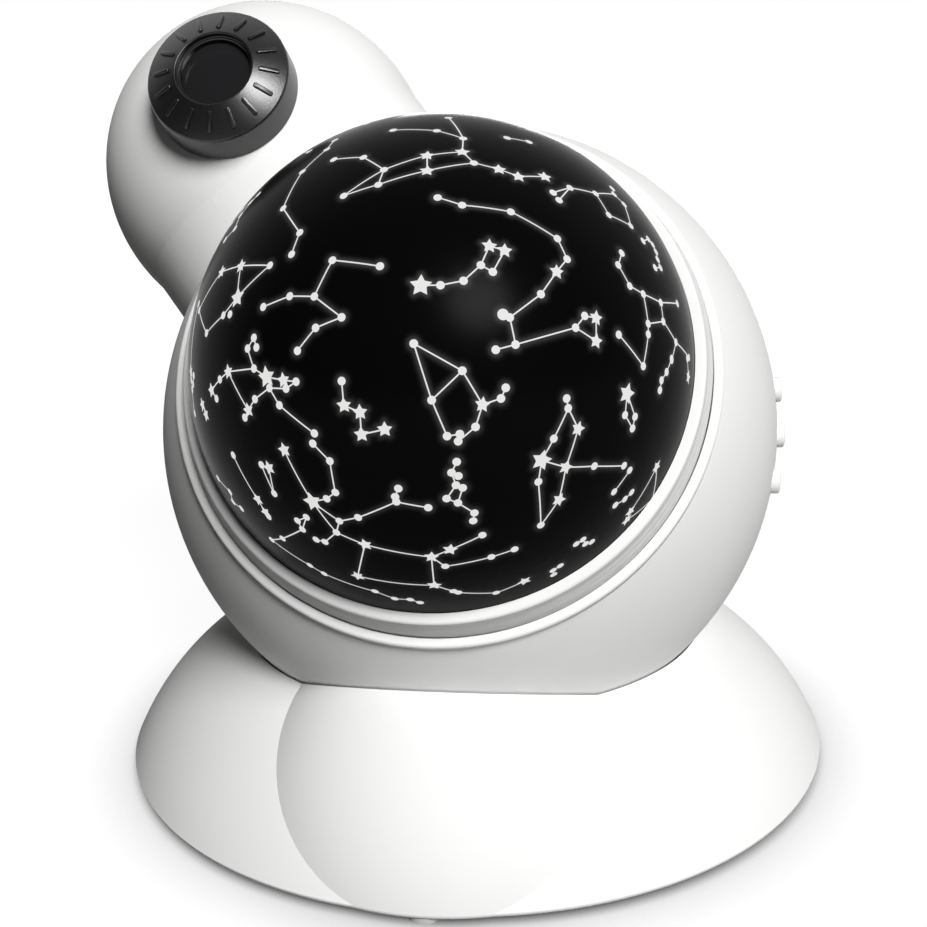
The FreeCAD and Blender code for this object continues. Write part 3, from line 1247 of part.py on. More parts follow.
# -------------------------------------------------------------------- export
doc.recompute()
faults = [o.Name for o in doc.Objects if "Invalid" in o.State or "Error" in o.State]
for node in nodes:
    if node.Shape.isNull() or not node.Shape.isValid() or not node.Shape.Solids:
        faults.append(node.Label)
if faults:
    raise RuntimeError("failed objects: " + ", ".join(faults))
os.makedirs("parts", exist_ok=True)
for node in nodes:
    node.Shape.exportStep("parts/%s.step" % node.Label)
    print(node.Label, len(node.Shape.Solids), round(node.Shape.Volume, 1))
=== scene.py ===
"""The finished surfaces of a table-top planetarium projector.

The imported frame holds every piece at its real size. This script gives each piece its
finish, and stands smooth meshes of the same size in for the mouldings that show: the
bell-shaped base, the two halves of the ball, the battery door, the star dome with its
printed sky, the collar, the focus knob with its window, and the buttons.

Lengths are millimetres, which `MM` turns into metres, apart from those of the studio,
which are metres. Angles are degrees.
"""

import json
import logging
import math
from dataclasses import dataclass, field
from enum import Enum

import bmesh
import bpy
from mathutils import Matrix, Vector
from mathutils.bvhtree import BVHTree


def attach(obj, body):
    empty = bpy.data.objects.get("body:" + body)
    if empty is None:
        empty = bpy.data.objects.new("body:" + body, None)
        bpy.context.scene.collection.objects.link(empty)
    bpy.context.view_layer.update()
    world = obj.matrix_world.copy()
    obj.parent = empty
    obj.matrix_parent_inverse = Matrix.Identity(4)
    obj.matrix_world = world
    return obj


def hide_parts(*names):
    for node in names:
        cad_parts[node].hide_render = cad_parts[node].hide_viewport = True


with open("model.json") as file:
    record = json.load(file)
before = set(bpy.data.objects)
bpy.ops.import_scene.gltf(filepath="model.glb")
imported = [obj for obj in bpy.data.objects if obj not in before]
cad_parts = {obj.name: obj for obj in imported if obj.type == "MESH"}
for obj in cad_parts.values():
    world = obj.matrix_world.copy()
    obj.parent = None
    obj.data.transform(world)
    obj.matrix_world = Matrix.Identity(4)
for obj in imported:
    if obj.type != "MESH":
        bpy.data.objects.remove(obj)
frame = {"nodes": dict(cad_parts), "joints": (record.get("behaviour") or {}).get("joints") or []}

MM = 0.001
MERGE = 5e-4  # points of a form that lie nearer than this are one
SLIVER = 1e-5  # an edge shorter than this has no length
ON_AXIS = 1e-6  # a point of a profile that lies nearer to the axis is on it
SLICES = 8  # equal slices that a turned form is put together from
OVER = 1.0  # how far a cutting tool reaches past the face that it cuts
DEGREES_PER_HOUR = 15.0

Point = tuple[float, float]
Triple = tuple[float, float, float]
Feed = bpy.types.NodeSocket | float | tuple[float, ...]
log = logging.getLogger("planetarium")


# ------------------------------------------------------------------ places
def joint(name: str) -> dict:
    """Return the frame's joint of that name."""
    return next(j for j in frame["joints"] if j["name"] == name)


def axis_place(origin: Vector, axis: Vector) -> Matrix:
    """Return the matrix of a place whose Z runs along an axis, with X kept level.

    Args:
        origin: The place's origin in metres.
        axis: The direction of its Z axis.

    Returns:
        A matrix that takes millimetres at the place to metres in the frame.
    """
    up = axis.normalized()
    side = Vector((1, 0, 0))
    turn = Matrix((side, up.cross(side), up)).transposed()
    return Matrix.Translation(origin) @ turn.to_4x4() @ Matrix.Scale(MM, 4)


def aimed(azimuth: float, elevation: float) -> Matrix:
    """Return the turn of a lamp or camera that looks back from a side and a height."""
    return (Matrix.Rotation(math.radians(azimuth), 4, "Z")
            @ Matrix.Rotation(math.radians(90.0 - elevation), 4, "X"))


DOME_AXIS = Vector(joint("dome_spin")["axis"])
BALL_CENTRE = Vector(joint("tilt")["pos_m"])
BALL = axis_place(BALL_CENTRE, DOME_AXIS)
HEAD = axis_place(Vector(joint("focus_turn")["pos_m"]), DOME_AXIS)
LEVEL = Matrix.Scale(MM, 4)
LEVEL_BALL = Matrix.Translation(BALL_CENTRE) @ LEVEL


# ------------------------------------------------------------------ shaping
class Operation(Enum):
    """What one solid does to another."""

    ADD = "UNION"
    CUT = "DIFFERENCE"
    SHARE = "INTERSECT"


def arc(centre: Point, radius: float, start: float, stop: float, steps: int) -> list[Point]:
    """Return the points of an arc in a profile.

    Args:
        centre: The arc's centre as radius and height.
        radius: The arc's radius.
        start: The first point's angle, from the radial direction.
        stop: The last point's angle.
        steps: The number of stretches between the points.

    Returns:
        The points from start to stop, both included.
    """
    turns = [math.radians(start + (stop - start) * k / steps) for k in range(steps + 1)]
    return [(centre[0] + radius * math.cos(a), centre[1] + radius * math.sin(a)) for a in turns]


def rise(radius: float, reach: float) -> float:
    """Return the height of a sphere at a distance from its axis."""
    return math.sqrt(radius * radius - reach * reach)


def angle_at(radius: float, height: float) -> float:
    """Return the angle at which a sphere has that height."""
    return math.degrees(math.asin(height / radius))


def angle_out(radius: float, reach: float) -> float:
    """Return the angle at which a sphere is that far from its axis."""
    return math.degrees(math.acos(reach / radius))


def clean(bm: bmesh.types.BMesh) -> bmesh.types.BMesh:
    """Merge doubles and point the faces outwards.

    Args:
        bm: The form.

    Returns:
        The same form.
    """
    bmesh.ops.remove_doubles(bm, verts=bm.verts, dist=MERGE)
    bmesh.ops.dissolve_degenerate(bm, edges=bm.edges, dist=SLIVER)
    bmesh.ops.recalc_face_normals(bm, faces=bm.faces)
    return bm


def turned(profile: list[Point], segments: int) -> bmesh.types.BMesh:
    """Spin a closed profile of radius and height about Z.

    One slice of the turn is spun, and three times the form is doubled, because a long
    spin is slow.

    Args:
        profile: The outline's points, in order.
        segments: The number of steps of the full turn, a multiple of the slices.

    Returns:
        The closed form.
    """
    bm = bmesh.new()
    verts = [bm.verts.new((r, 0.0, z)) for r, z in profile]
    pairs = [(verts[i - 1], verts[i]) for i in range(len(verts))]
    edges = [bm.edges.new(p) for p in pairs if max(v.co.x for v in p) > ON_AXIS]
    bmesh.ops.spin(bm, geom=verts + edges, cent=(0, 0, 0), axis=(0, 0, 1), dvec=(0, 0, 0),
                   angle=math.tau / SLICES, steps=segments // SLICES, use_merge=False,
                   use_duplicate=False)
    for share in (SLICES, SLICES // 2, SLICES // 4):
        copy = bmesh.ops.duplicate(bm, geom=bm.verts[:] + bm.edges[:] + bm.faces[:])
        fresh = [v for v in copy["geom"] if isinstance(v, bmesh.types.BMVert)]
        bmesh.ops.rotate(bm, verts=fresh, cent=(0, 0, 0),
                         matrix=Matrix.Rotation(math.tau / share, 3, "Z"))
    return clean(bm)


def join(bm: bmesh.types.BMesh, part: bmesh.types.BMesh) -> None:
    """Add a form to another.

    Args:
        bm: The form that grows.
        part: The form that is added; it is freed.
    """
    spare = bpy.data.meshes.new("part")
    part.to_mesh(spare)
    part.free()
    bm.from_mesh(spare)
    bpy.data.meshes.remove(spare)


def rod(radius: float, low: float, high: float, segments: int = 48) -> bmesh.types.BMesh:
    """Return an upright rod.

    Args:
        radius: The rod's radius.
        low: The height of its lower end.
        high: The height of its upper end.
        segments: The number of its sides.

    Returns:
        The rod, about the Z axis.
    """
    bm = bmesh.new()
    bmesh.ops.create_cone(bm, cap_ends=True, segments=segments, radius1=radius, radius2=radius,
                          depth=high - low)
    bmesh.ops.translate(bm, verts=bm.verts, vec=(0, 0, (high + low) / 2))
    return bm


def block(low: Triple, high: Triple) -> bmesh.types.BMesh:
    """Return a block.

    Args:
        low: Its lowest corner.
        high: Its highest corner.

    Returns:
        The block, with sharp edges.
    """
    bm = bmesh.new()
    bmesh.ops.create_cube(bm, size=1.0)
    bmesh.ops.scale(bm, verts=bm.verts, vec=[b - a for a, b in zip(low, high)])
    bmesh.ops.translate(bm, verts=bm.verts, vec=[(b + a) / 2 for a, b in zip(low, high)])
    return bm


def edges_along(bm: bmesh.types.BMesh, axis: int) -> list[bmesh.types.BMEdge]:
    """Return a block's edges along an axis: 0, 1 or 2."""
    return [e for e in bm.edges if abs(e.verts[0].co[axis] - e.verts[1].co[axis]) > SLIVER]


def round_off(bm: bmesh.types.BMesh, edges: list[bmesh.types.BMEdge], radius: float,
              steps: int) -> None:
    """Round some of a form's edges.

    Args:
        bm: The form.
        edges: The edges to round.
        radius: The radius of the rounding.
        steps: The number of its segments.
    """
    bmesh.ops.bevel(bm, geom=edges, offset=radius, segments=steps, affect="EDGES",
                    profile=0.5, material=-1)


def raised(bm: bmesh.types.BMesh, faces: list[bmesh.types.BMFace],
           way: Triple) -> list[bmesh.types.BMVert]:
    """Extrude faces along a way.

    Args:
        bm: The form that they belong to.
        faces: The faces.
        way: How far the new faces are moved.

    Returns:
        The vertices of the new faces.
    """
    grown = bmesh.ops.extrude_face_region(bm, geom=faces)
    moved = [v for v in grown["geom"] if isinstance(v, bmesh.types.BMVert)]
    bmesh.ops.translate(bm, verts=moved, vec=way)
    return moved


def placed(bm: bmesh.types.BMesh, name: str, place: Matrix) -> bpy.types.Object:
    """Turn a form into an object whose place is in its mesh.

    Args:
        bm: The form; it is freed.
        name: The object's name.
        place: The matrix from the form's millimetres to the frame.

    Returns:
        The linked object, at the origin.
    """
    bmesh.ops.transform(bm, matrix=place, verts=bm.verts)
    mesh = bpy.data.meshes.new(name)
    bm.to_mesh(mesh)
    bm.free()
    item = bpy.data.objects.new(name, mesh)
    bpy.context.scene.collection.objects.link(item)
    return item


def combine(item: bpy.types.Object, *tools: bpy.types.Object,
            how: Operation = Operation.ADD) -> bpy.types.Object:
    """Add, cut or share solids, one after the other.

    Args:
        item: The solid that stays.
        *tools: The solids that act on it; they are used up.
        how: What they do.

    Returns:
        The same object with its new mesh.
    """
    for tool in tools:
        step = item.modifiers.new("solid", "BOOLEAN")
        step.operation = how.value
        step.solver = "MANIFOLD"
        step.object = tool
        shown = item.evaluated_get(bpy.context.evaluated_depsgraph_get())
        mesh = bpy.data.meshes.new_from_object(shown)
        item.modifiers.clear()
        old, item.data = item.data, mesh
        bpy.data.meshes.remove(old)
        bpy.data.objects.remove(tool)
    return item


def smooth(item: bpy.types.Object, angle: float = 32.0) -> bpy.types.Object:
    """Shade an object smooth, with its creases kept crisp.

    Args:
        item: The object.
        angle: The angle between faces from which an edge counts as a crease.

    Returns:
        The same object.
    """
    item.data.shade_smooth()
    item.data.set_sharp_from_angle(angle=math.radians(angle))
    return item


def dress(item: bpy.types.Object, finish: "Finish") -> None:
    """Give an object one finish all over."""
    item.data.materials.clear()
    item.data.materials.append(finish.material())


def deliver(item: bpy.types.Object, body: str, finish: "Finish",
            nodes: tuple[str, ...] = ()) -> None:
    """Finish a piece, make it ride on its body and report it.

    Args:
        item: The piece.
        body: The body that carries it.
        finish: The surface finish.
        nodes: The frame's nodes that it stands in for.
    """
    dress(item, finish)
    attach(item, body)
    if nodes:
        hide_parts(*nodes)
    log.info("%s: %d faces, rides on %s", item.name, len(item.data.polygons), body)


# ----------------------------------------------------------------- finishes
@dataclass
class Nodes:
    """A small hand for wiring shader nodes."""

    tree: bpy.types.NodeTree

    def add(self, kind: str, **settings: object) -> bpy.types.Node:
        """Add a node.

        Args:
            kind: The node's type.
            **settings: Its properties and their values.

        Returns:
            The node.
        """
        node = self.tree.nodes.new(kind)
        for name, value in settings.items():
            setattr(node, name, value)
        return node

    def fill(self, node: bpy.types.Node, inputs: dict[str | int, Feed]) -> None:
        """Set a node's inputs.

        Args:
            node: The node.
            inputs: For each input, by name or number, its value or the socket that feeds it.
        """
        for key, value in inputs.items():
            if isinstance(value, bpy.types.NodeSocket):
                self.tree.links.new(value, node.inputs[key])
            else:
                node.inputs[key].default_value = value

    def maths(self, operation: str, *values: Feed, clamp: bool = False) -> bpy.types.NodeSocket:
        """Work out a number.

        Args:
            operation: What is done with the values.
            *values: The values, or the sockets that feed them.
            clamp: Whether the result is kept between 0 and 1.

        Returns:
            The socket that puts the result out.
        """
        node = self.add("ShaderNodeMath", operation=operation, use_clamp=clamp)
        self.fill(node, dict(enumerate(values)))
        return node.outputs[0]

    def noise(self, vector: bpy.types.NodeSocket, scale: Feed,
              detail: float) -> bpy.types.NodeSocket:
        """Add a noise pattern.

        Args:
            vector: The place that it is read at.
            scale: How fine it is.
            detail: How many finer layers it has.

        Returns:
            The socket that puts the pattern out.
        """
        node = self.add("ShaderNodeTexNoise")
        self.fill(node, {"Scale": scale, "Detail": detail, "Vector": vector})
        return node.outputs["Fac"]


@dataclass(frozen=True)
class Grain:
    """The grain of a moulded or ground surface: a fine pattern over broad patches."""

    name: str = "surface_grain"
    fine_detail: float = 2.0
    broad_scale: float = 35.0
    broad_detail: float = 3.0
    inputs: tuple[tuple[str, str], ...] = (
        ("Scale", "NodeSocketFloat"), ("Stretch", "NodeSocketVector"),
        ("Roughness", "NodeSocketFloat"), ("Spread", "NodeSocketFloat"),
        ("Colour", "NodeSocketColor"), ("Tint", "NodeSocketFloat"))
    outputs: tuple[tuple[str, str], ...] = (
        ("Colour", "NodeSocketColor"), ("Roughness", "NodeSocketFloat"),
        ("Height", "NodeSocketFloat"))

    def group(self) -> bpy.types.NodeTree:
        """Return the node group, built on first use.

        Returns:
            A group whose outputs all change over the surface.
        """
        if self.name in bpy.data.node_groups:
            return bpy.data.node_groups[self.name]
        group = bpy.data.node_groups.new(self.name, "ShaderNodeTree")
        for side, sockets in (("INPUT", self.inputs), ("OUTPUT", self.outputs)):
            for label, kind in sockets:
                group.interface.new_socket(name=label, in_out=side, socket_type=kind)
        hand = Nodes(group)
        given = hand.add("NodeGroupInput").outputs
        stretch = hand.add("ShaderNodeVectorMath", operation="MULTIPLY")
        hand.fill(stretch, {0: hand.add("ShaderNodeTexCoord").outputs["Object"],
                            1: given["Stretch"]})
        fine = hand.noise(stretch.outputs[0], given["Scale"], self.fine_detail)
        broad = hand.noise(stretch.outputs[0], self.broad_scale, self.broad_detail)
        # roughness: the given value, moved by both patterns about their middle
        centred = hand.maths("SUBTRACT", hand.maths("ADD", fine, broad), 1.0)
        rough = hand.maths("MULTIPLY_ADD", centred, given["Spread"], given["Roughness"],
                           clamp=True)
        # colour: a shade lighter or darker in broad patches
        patch = hand.maths("SUBTRACT", broad, 0.5)
        tinted = hand.add("ShaderNodeVectorMath", operation="SCALE")
        hand.fill(tinted, {0: given["Colour"],
                           "Scale": hand.maths("MULTIPLY_ADD", patch, given["Tint"], 1.0)})
        hand.fill(hand.add("NodeGroupOutput"),
                  {"Colour": tinted.outputs[0], "Roughness": rough, "Height": fine})
        return group


@dataclass(frozen=True)
class Finish:
    """A surface: its colour, sheen and grain, all set on one shader."""

    name: str
    colour: Triple
    roughness: float = 0.4
    spread: float = 0.06
    tint: float = 0.03
    grain: float = 900.0
    relief: float = 0.02
    relief_depth: float = 0.2
    stretch: Triple = (1.0, 1.0, 1.0)
    metallic: float = 0.0
    specular: float = 0.5
    coat: float = 0.0
    coat_roughness: float = 0.12
    transmission: float = 0.0
    glow: float = 0.0
    ior: float = 1.45
    # painted halo: the name of a vertex attribute that pales the colour, as the glow of the star
    # windows would
    painted_halo: str = ""
    painted_halo_colour: Triple = (0.7, 0.7, 0.7)

    def with_painted_halo(self, hand: Nodes, colour: bpy.types.NodeSocket) -> bpy.types.NodeSocket:
        """Return the colour, paler where the mesh's halo attribute is high: a painted halo of light
        round the star windows.

        Args:
            hand: The material's nodes.
            colour: The plain colour.

        Returns:
            The mixed colour.
        """
        painted_halo = hand.add("ShaderNodeAttribute", attribute_name=self.painted_halo)
        mixed = hand.add("ShaderNodeMix", data_type="RGBA")
        hand.fill(mixed, {"Factor": painted_halo.outputs["Fac"], "A": colour,
                          "B": (*self.painted_halo_colour, 1)})
        return mixed.outputs["Result"]

    def material(self) -> bpy.types.Material:
        """Return the material, built on first use.

        Returns:
            A material of one shader, which the grain and the relief feed.
        """
        if self.name in bpy.data.materials:
            return bpy.data.materials[self.name]
        made = bpy.data.materials.new(self.name)
        made.use_nodes = True
        made.diffuse_color = (*self.colour, 1)
        hand = Nodes(made.node_tree)
        grain = hand.add("ShaderNodeGroup", node_tree=Grain().group())
        hand.fill(grain, {"Scale": self.grain, "Stretch": self.stretch,
                          "Roughness": self.roughness, "Spread": self.spread,
                          "Colour": (*self.colour, 1), "Tint": self.tint})
        colour = grain.outputs["Colour"]
        bump = hand.add("ShaderNodeBump")
        hand.fill(bump, {"Strength": self.relief, "Distance": self.relief_depth * MM,
                         "Height": grain.outputs["Height"]})
        shader = made.node_tree.nodes["Principled BSDF"]
        hand.fill(shader, {
            "Base Color": self.with_painted_halo(hand, colour) if self.painted_halo else colour,
            "Roughness": grain.outputs["Roughness"], "Normal": bump.outputs["Normal"],
            "Metallic": self.metallic, "Specular IOR Level": self.specular, "IOR": self.ior,
            "Coat Weight": self.coat, "Coat Roughness": self.coat_roughness,
            "Transmission Weight": self.transmission})
        # painted glow: a surface with glow gives off light in its own colour though it is no lamp
        if self.glow:
            hand.fill(shader, {"Emission Color": colour, "Emission Strength": self.glow})
        return made


WHITE = Finish("satin_white_plastic", (0.83, 0.83, 0.82), roughness=0.42, spread=0.07,
               tint=0.015, grain=1400.0, relief=0.05, ior=1.012)
COLLAR_WHITE = Finish("collar_white_plastic", (0.84, 0.84, 0.83), roughness=0.36, spread=0.05,
                      tint=0.015, grain=1400.0, relief=0.03, ior=1.03)
BUTTON_WHITE = Finish("button_white_plastic", (0.82, 0.82, 0.81), roughness=0.42, grain=1600.0,
                      tint=0.015, relief=0.05)
# the dome's colour carries a painted halo round the star windows
DOME_BLACK = Finish("black_dome_print", (0.0022, 0.0022, 0.0023), roughness=0.24, spread=0.04,
                    tint=0.1, grain=1500.0, relief=0.01, ior=1.07, painted_halo="painted_halo")
# painted glow: the star windows give off light themselves, standing in for the lamp's light through
# them
STAR_PAINTED_GLOW = Finish("star_windows_painted_glow", (0.1, 0.099, 0.098), roughness=0.5, tint=0.05,
                    specular=0.0, glow=7.0)
KNOB_BLACK = Finish("satin_black_plastic", (0.006, 0.006, 0.0064), roughness=0.29, spread=0.08,
                    tint=0.2, grain=2200.0, relief=0.12, ior=1.56)
SMOKED = Finish("smoked_window", (0.012, 0.012, 0.013), roughness=0.08, spread=0.03, tint=0.2,
                relief=0.01, coat=0.4)
BLACK_INSIDE = Finish("black_moulding", (0.03, 0.03, 0.032), roughness=0.5, relief=0.1)
GREY_UNDERSIDE = Finish("grey_moulding", (0.075, 0.075, 0.078), roughness=0.55, relief=0.15)
NATURAL = Finish("natural_acetal", (0.72, 0.7, 0.64), roughness=0.35, tint=0.04)
RUBBER = Finish("soft_grey_rubber", (0.5, 0.5, 0.49), roughness=0.8, spread=0.1, relief=0.3)
STEEL = Finish("plated_steel", (0.56, 0.57, 0.58), roughness=0.28, spread=0.2, grain=2600.0,
               stretch=(1.0, 1.0, 6.0), metallic=1.0, relief=0.08)
BRASS = Finish("turned_brass", (0.68, 0.5, 0.24), roughness=0.25, spread=0.15, metallic=1.0)
LAMINATE = Finish("green_laminate", (0.012, 0.11, 0.045), roughness=0.35, spread=0.15, tint=0.3,
                  grain=2400.0, relief=0.2, stretch=(1.0, 1.0, 0.2))
CLEAR = Finish("clear_lens", (0.95, 0.97, 0.98), roughness=0.04, spread=0.01, tint=0.01,
               relief=0.0, transmission=1.0)
SLEEVE = Finish("cell_sleeve", (0.1, 0.11, 0.13), roughness=0.3, spread=0.08, tint=0.1, coat=0.3)
LAMP = Finish("clear_epoxy", (0.85, 0.85, 0.8), roughness=0.1, spread=0.02, transmission=0.7)


# --------------------------------------------------------------------- base
@dataclass
class BellBase:
    """The bell-shaped base: flank, front lobe, socket and underside."""

    radius: float = 106.5
    bottom: float = 1.5
    edge: float = 1.5
    curve: float = 72.5
    curve_drop: float = 28.2
    lobe: float = 58.3
    lobe_reach: float = 49.7
    lobe_drop: float = 5.0
    lobe_spread: float = 1.06
    ball: float = 90.5
    centre_height: float = 96.0
    well: float = 34.0
    well_top: float = 40.0
    plate: float = 97.7
    plate_top: float = 3.7
    ledge: float = 3.0
    ledge_top: float = 6.2
    wall: float = 2.6
    crease: float = 12.0

    @property
    def curve_centre(self) -> Point:
        """Centre of the flank's arc as radius and height."""
        rise_at_edge = self.bottom + self.edge + self.curve_drop
        return self.radius - rise(self.curve, rise_at_edge), -self.curve_drop

    def flank(self, inset: float, start: float) -> list[Point]:
        """Return the flank's arc, from a height to its top.

        Args:
            inset: How far it is set in; 0 for the outside.
            start: The height of its lower end.

        Returns:
            The arc's points, upwards.
        """
        radius = self.curve - inset
        low = angle_at(radius, start + self.curve_drop)
        return arc(self.curve_centre, radius, low, 90.0, steps=40)

    def foot(self, reach: float, bottom: float) -> list[Point]:
        """Return the rounded lower edge of a form that reaches that far at its bottom."""
        return arc((reach - self.edge, bottom + self.edge), self.edge, -90.0, 0.0, steps=6)

    def outside(self) -> bpy.types.Object:
        """Return the bell joined to its lobe, both with a rounded lower edge.

        Returns:
            The joined solid, still without its hollow.
        """
        flank = self.flank(0.0, self.bottom + self.edge)
        profile = [(0.0, self.bottom), *self.foot(self.radius, self.bottom), *flank[1:],
                   (0.0, flank[-1][1])]
        bell = placed(turned(profile, segments=176), "base_shell_smooth", LEVEL)
        level = self.bottom + self.lobe_drop
        start = level + self.edge
        dome = arc((0.0, 0.0), self.lobe, angle_at(self.lobe, start), 90.0, steps=44)
        profile = [(0.0, level), *self.foot(rise(self.lobe, start), level), *dome[1:]]
        seat = (Matrix.Translation((0, -self.lobe_reach * MM, -self.lobe_drop * MM)) @ LEVEL
                @ Matrix.Diagonal((self.lobe_spread, 1, 1, 1)))
        return combine(bell, placed(turned(profile, segments=144), "lobe", seat))

    def hollow(self) -> bpy.types.Object:
        """Return the room inside the shell, with the socket's cup left standing.

        Returns:
            The solid that cuts the room.
        """
        inner = self.plate - self.ledge
        below = self.bottom - OVER
        flank = self.flank(self.wall, self.ledge_top)
        profile = [(0.0, below), (self.plate, below), (self.plate, self.plate_top),
                   (inner, self.plate_top), (inner, self.ledge_top), *flank, (0.0, flank[-1][1])]
        room = placed(turned(profile, segments=96), "room", LEVEL)
        cup = self.sphere("cup", self.ball + self.wall, 96)
        well = placed(rod(self.well, below - OVER, self.well_top, segments=96), "well", LEVEL)
        return combine(combine(room, cup, how=Operation.CUT), well)

    def sphere(self, name: str, radius: float, segments: int) -> bpy.types.Object:
        """Return a sphere about the ball's centre."""
        profile = arc((0.0, self.centre_height), radius, -90.0, 90.0, steps=segments // 2)
        return placed(turned(profile, segments), name, LEVEL)

    def build(self) -> None:
        """Build and deliver the shell."""
        shell = self.outside()
        seat = self.sphere("seat", self.ball, 160)
        combine(shell, self.hollow(), seat, how=Operation.CUT)
        deliver(smooth(shell, self.crease), "base", WHITE, ("base_shell",))


# --------------------------------------------------------------- ball halves
@dataclass(frozen=True)
class ButtonColumn:
    """The column of the three buttons in the ball's side."""

    level: float = 8.5
    shift: float = -2.5
    pitch: float = 13.5

    def places(self) -> list[tuple[float, Matrix]]:
        """Return where the buttons are, the lowest first.

        Returns:
            For each button its offset from the middle of the ball's side, and its place,
            whose Z runs outwards.
        """
        rows = [self.shift + step * self.pitch for step in (-1, 0, 1)]
        turn = Matrix.Rotation(math.pi / 2, 4, "Y")
        return [(math.hypot(row, self.level),
                 BALL @ Matrix.Translation((0, row, self.level)) @ turn) for row in rows]


@dataclass
class BallShells:
    """The two halves of the ball, each with its part of the neck and head."""

    ball: float = 90.0
    wall: float = 2.6
    head: float = 52.0
    head_reach: float = 111.0
    head_angle: float = 51.7
    neck: float = 50.6
    neck_depth: float = 46.8
    neck_start: float = 71.0
    neck_overlap: float = 8.0
    opening: float = 69.0
    opening_round: float = 0.5
    lip: float = 71.6
    lip_level: float = 57.5
    lip_round: float = 0.9
    seat_level: float = 42.0
    seam: float = 0.12
    stagger: float = 0.01
    guide: float = 16.9
    guide_reach: Point = (10.0, 80.0)
    button_hole: float = 3.9
    button_reach: Point = (50.0, 110.0)
    screw_circle: float = 83.4
    screw_well: float = 3.4
    screw_depth: float = 12.0
    screw_reach: float = 70.0
    screw_angles: tuple[float, ...] = (50.0, -55.0, -125.0, 178.0)
    boss_wall: float = 1.2
    crease: float = 24.0

    @property
    def along(self) -> Matrix:
        """Turn whose Z runs from the ball's centre to the head's."""
        turn = math.radians(270.0 - self.head_angle)
        return Matrix.Rotation(turn, 4, "Z") @ Matrix.Rotation(math.pi / 2, 4, "X")

    @property
    def head_place(self) -> Matrix:
        """Place of the head's centre, in the ball's millimetres."""
        turn, reach = math.radians(self.head_angle), self.head_reach
        return Matrix.Translation((-reach * math.cos(turn), reach * math.sin(turn), 0))

    def neck_bar(self, inset: float, start: float) -> bmesh.types.BMesh:
        """Return the oval bar of the neck.

        Args:
            inset: How far its surface is set in; 0 for the outside.
            start: How far from the ball's centre it starts.

        Returns:
            The bar, which ends at the head's centre.
        """
        bm = rod(1.0, start, self.head_reach, segments=128)
        bmesh.ops.scale(bm, verts=bm.verts, vec=(self.neck - inset, self.neck_depth - inset, 1))
        bmesh.ops.transform(bm, matrix=self.along, verts=bm.verts)
        return bm

    def half(self, bm: bmesh.types.BMesh, front: bool, level: float) -> bmesh.types.BMesh:
        """Keep one part of a form and close it.

        Args:
            bm: The form.
            front: Whether the part in front of the level is kept, or the one behind it.
            level: The level.

        Returns:
            The same form.
        """
        geom = bm.verts[:] + bm.edges[:] + bm.faces[:]
        cut = bmesh.ops.bisect_plane(bm, geom=geom, plane_co=(0, 0, level), plane_no=(0, 0, 1),
                                     clear_inner=front, clear_outer=not front)
        edges = [e for e in cut["geom_cut"] if isinstance(e, bmesh.types.BMEdge)]
        bmesh.ops.holes_fill(bm, edges=edges, sides=0)
        return clean(bm)

    def forms(self, front: bool, inset: float) -> bpy.types.Object:
        """Return ball, neck and head joined, for one half.

        Args:
            front: Whether it is the front half.
            inset: How far the surfaces are set in; 0 for the outside.

        Returns:
            The joined solid. A form that is set in reaches past the seam.
        """
        outside = inset == 0
        side = 1.0 if front else -1.0
        low = 0.0 if outside else -OVER
        bevel = self.seam if outside else 0.0
        radius = self.ball - inset
        if front and outside:
            ball = self.rim_profile()
        else:
            stop = angle_at(radius, self.seat_level) if front else 90.0
            curve = arc((0.0, 0.0), radius, angle_at(radius, low + bevel), stop, steps=48)
            ball = [(0.0, low), (curve[0][0] - bevel, low), *curve]
            ball += [(0.0, curve[-1][1])] if curve[-1][0] > ON_AXIS else []
        radius = self.head - inset
        curve = arc((0.0, 0.0), radius, angle_at(radius, low + bevel), 90.0, steps=40)
        foot = low + 2 * self.stagger
        cap = [(0.0, foot), (curve[0][0] - bevel, foot), *curve]
        if not front:
            ball = [(r, -z) for r, z in ball]
            cap = [(r, -z) for r, z in cap]
        name = "ball_%s_shell_smooth" % ("front" if front else "rear")
        form = placed(turned(ball, segments=176 if outside else 96), name, BALL)
        start = self.neck_start - (0.0 if outside else self.neck_overlap)
        bar = self.half(self.neck_bar(inset, start), front, side * (low + self.stagger))
        neck = placed(bar, "neck", BALL)
        head = placed(turned(cap, segments=144 if outside else 80), "head",
                      BALL @ self.head_place)
        return combine(form, neck, head)

    def rim_profile(self) -> list[Point]:
        """Return the section of the front ring, from the seam to the raised lip.

        Returns:
            The section's points, outside first.
        """
        curve = arc((0.0, 0.0), self.ball, angle_at(self.ball, self.seam),
                    angle_out(self.ball, self.lip), steps=40)
        corner = arc((self.lip - self.lip_round, self.lip_level - self.lip_round),
                     self.lip_round, 0.0, 90.0, steps=6)
        inside = arc((self.opening + self.opening_round, self.lip_level - self.opening_round),
                     self.opening_round, 90.0, 180.0, steps=4)
        return [(self.opening, 0.0), (self.ball - self.seam, 0.0), *curve, *corner, *inside]

    def front(self, buttons: ButtonColumn) -> None:
        """Build and deliver the front half.

        Args:
            buttons: The buttons, whose holes are cut.
        """
        shell = self.forms(True, 0.0)
        room = self.forms(True, self.wall)
        guide = placed(rod(self.guide, *self.guide_reach, segments=128), "guide_hole",
                       BALL @ self.head_place)
        holes = [placed(rod(self.button_hole, *self.button_reach, segments=64), "button_hole",
                        place) for _, place in buttons.places()]
        combine(shell, room, guide, *holes, how=Operation.CUT)
        deliver(smooth(shell, self.crease), "projector", WHITE, ("ball_front_shell",))

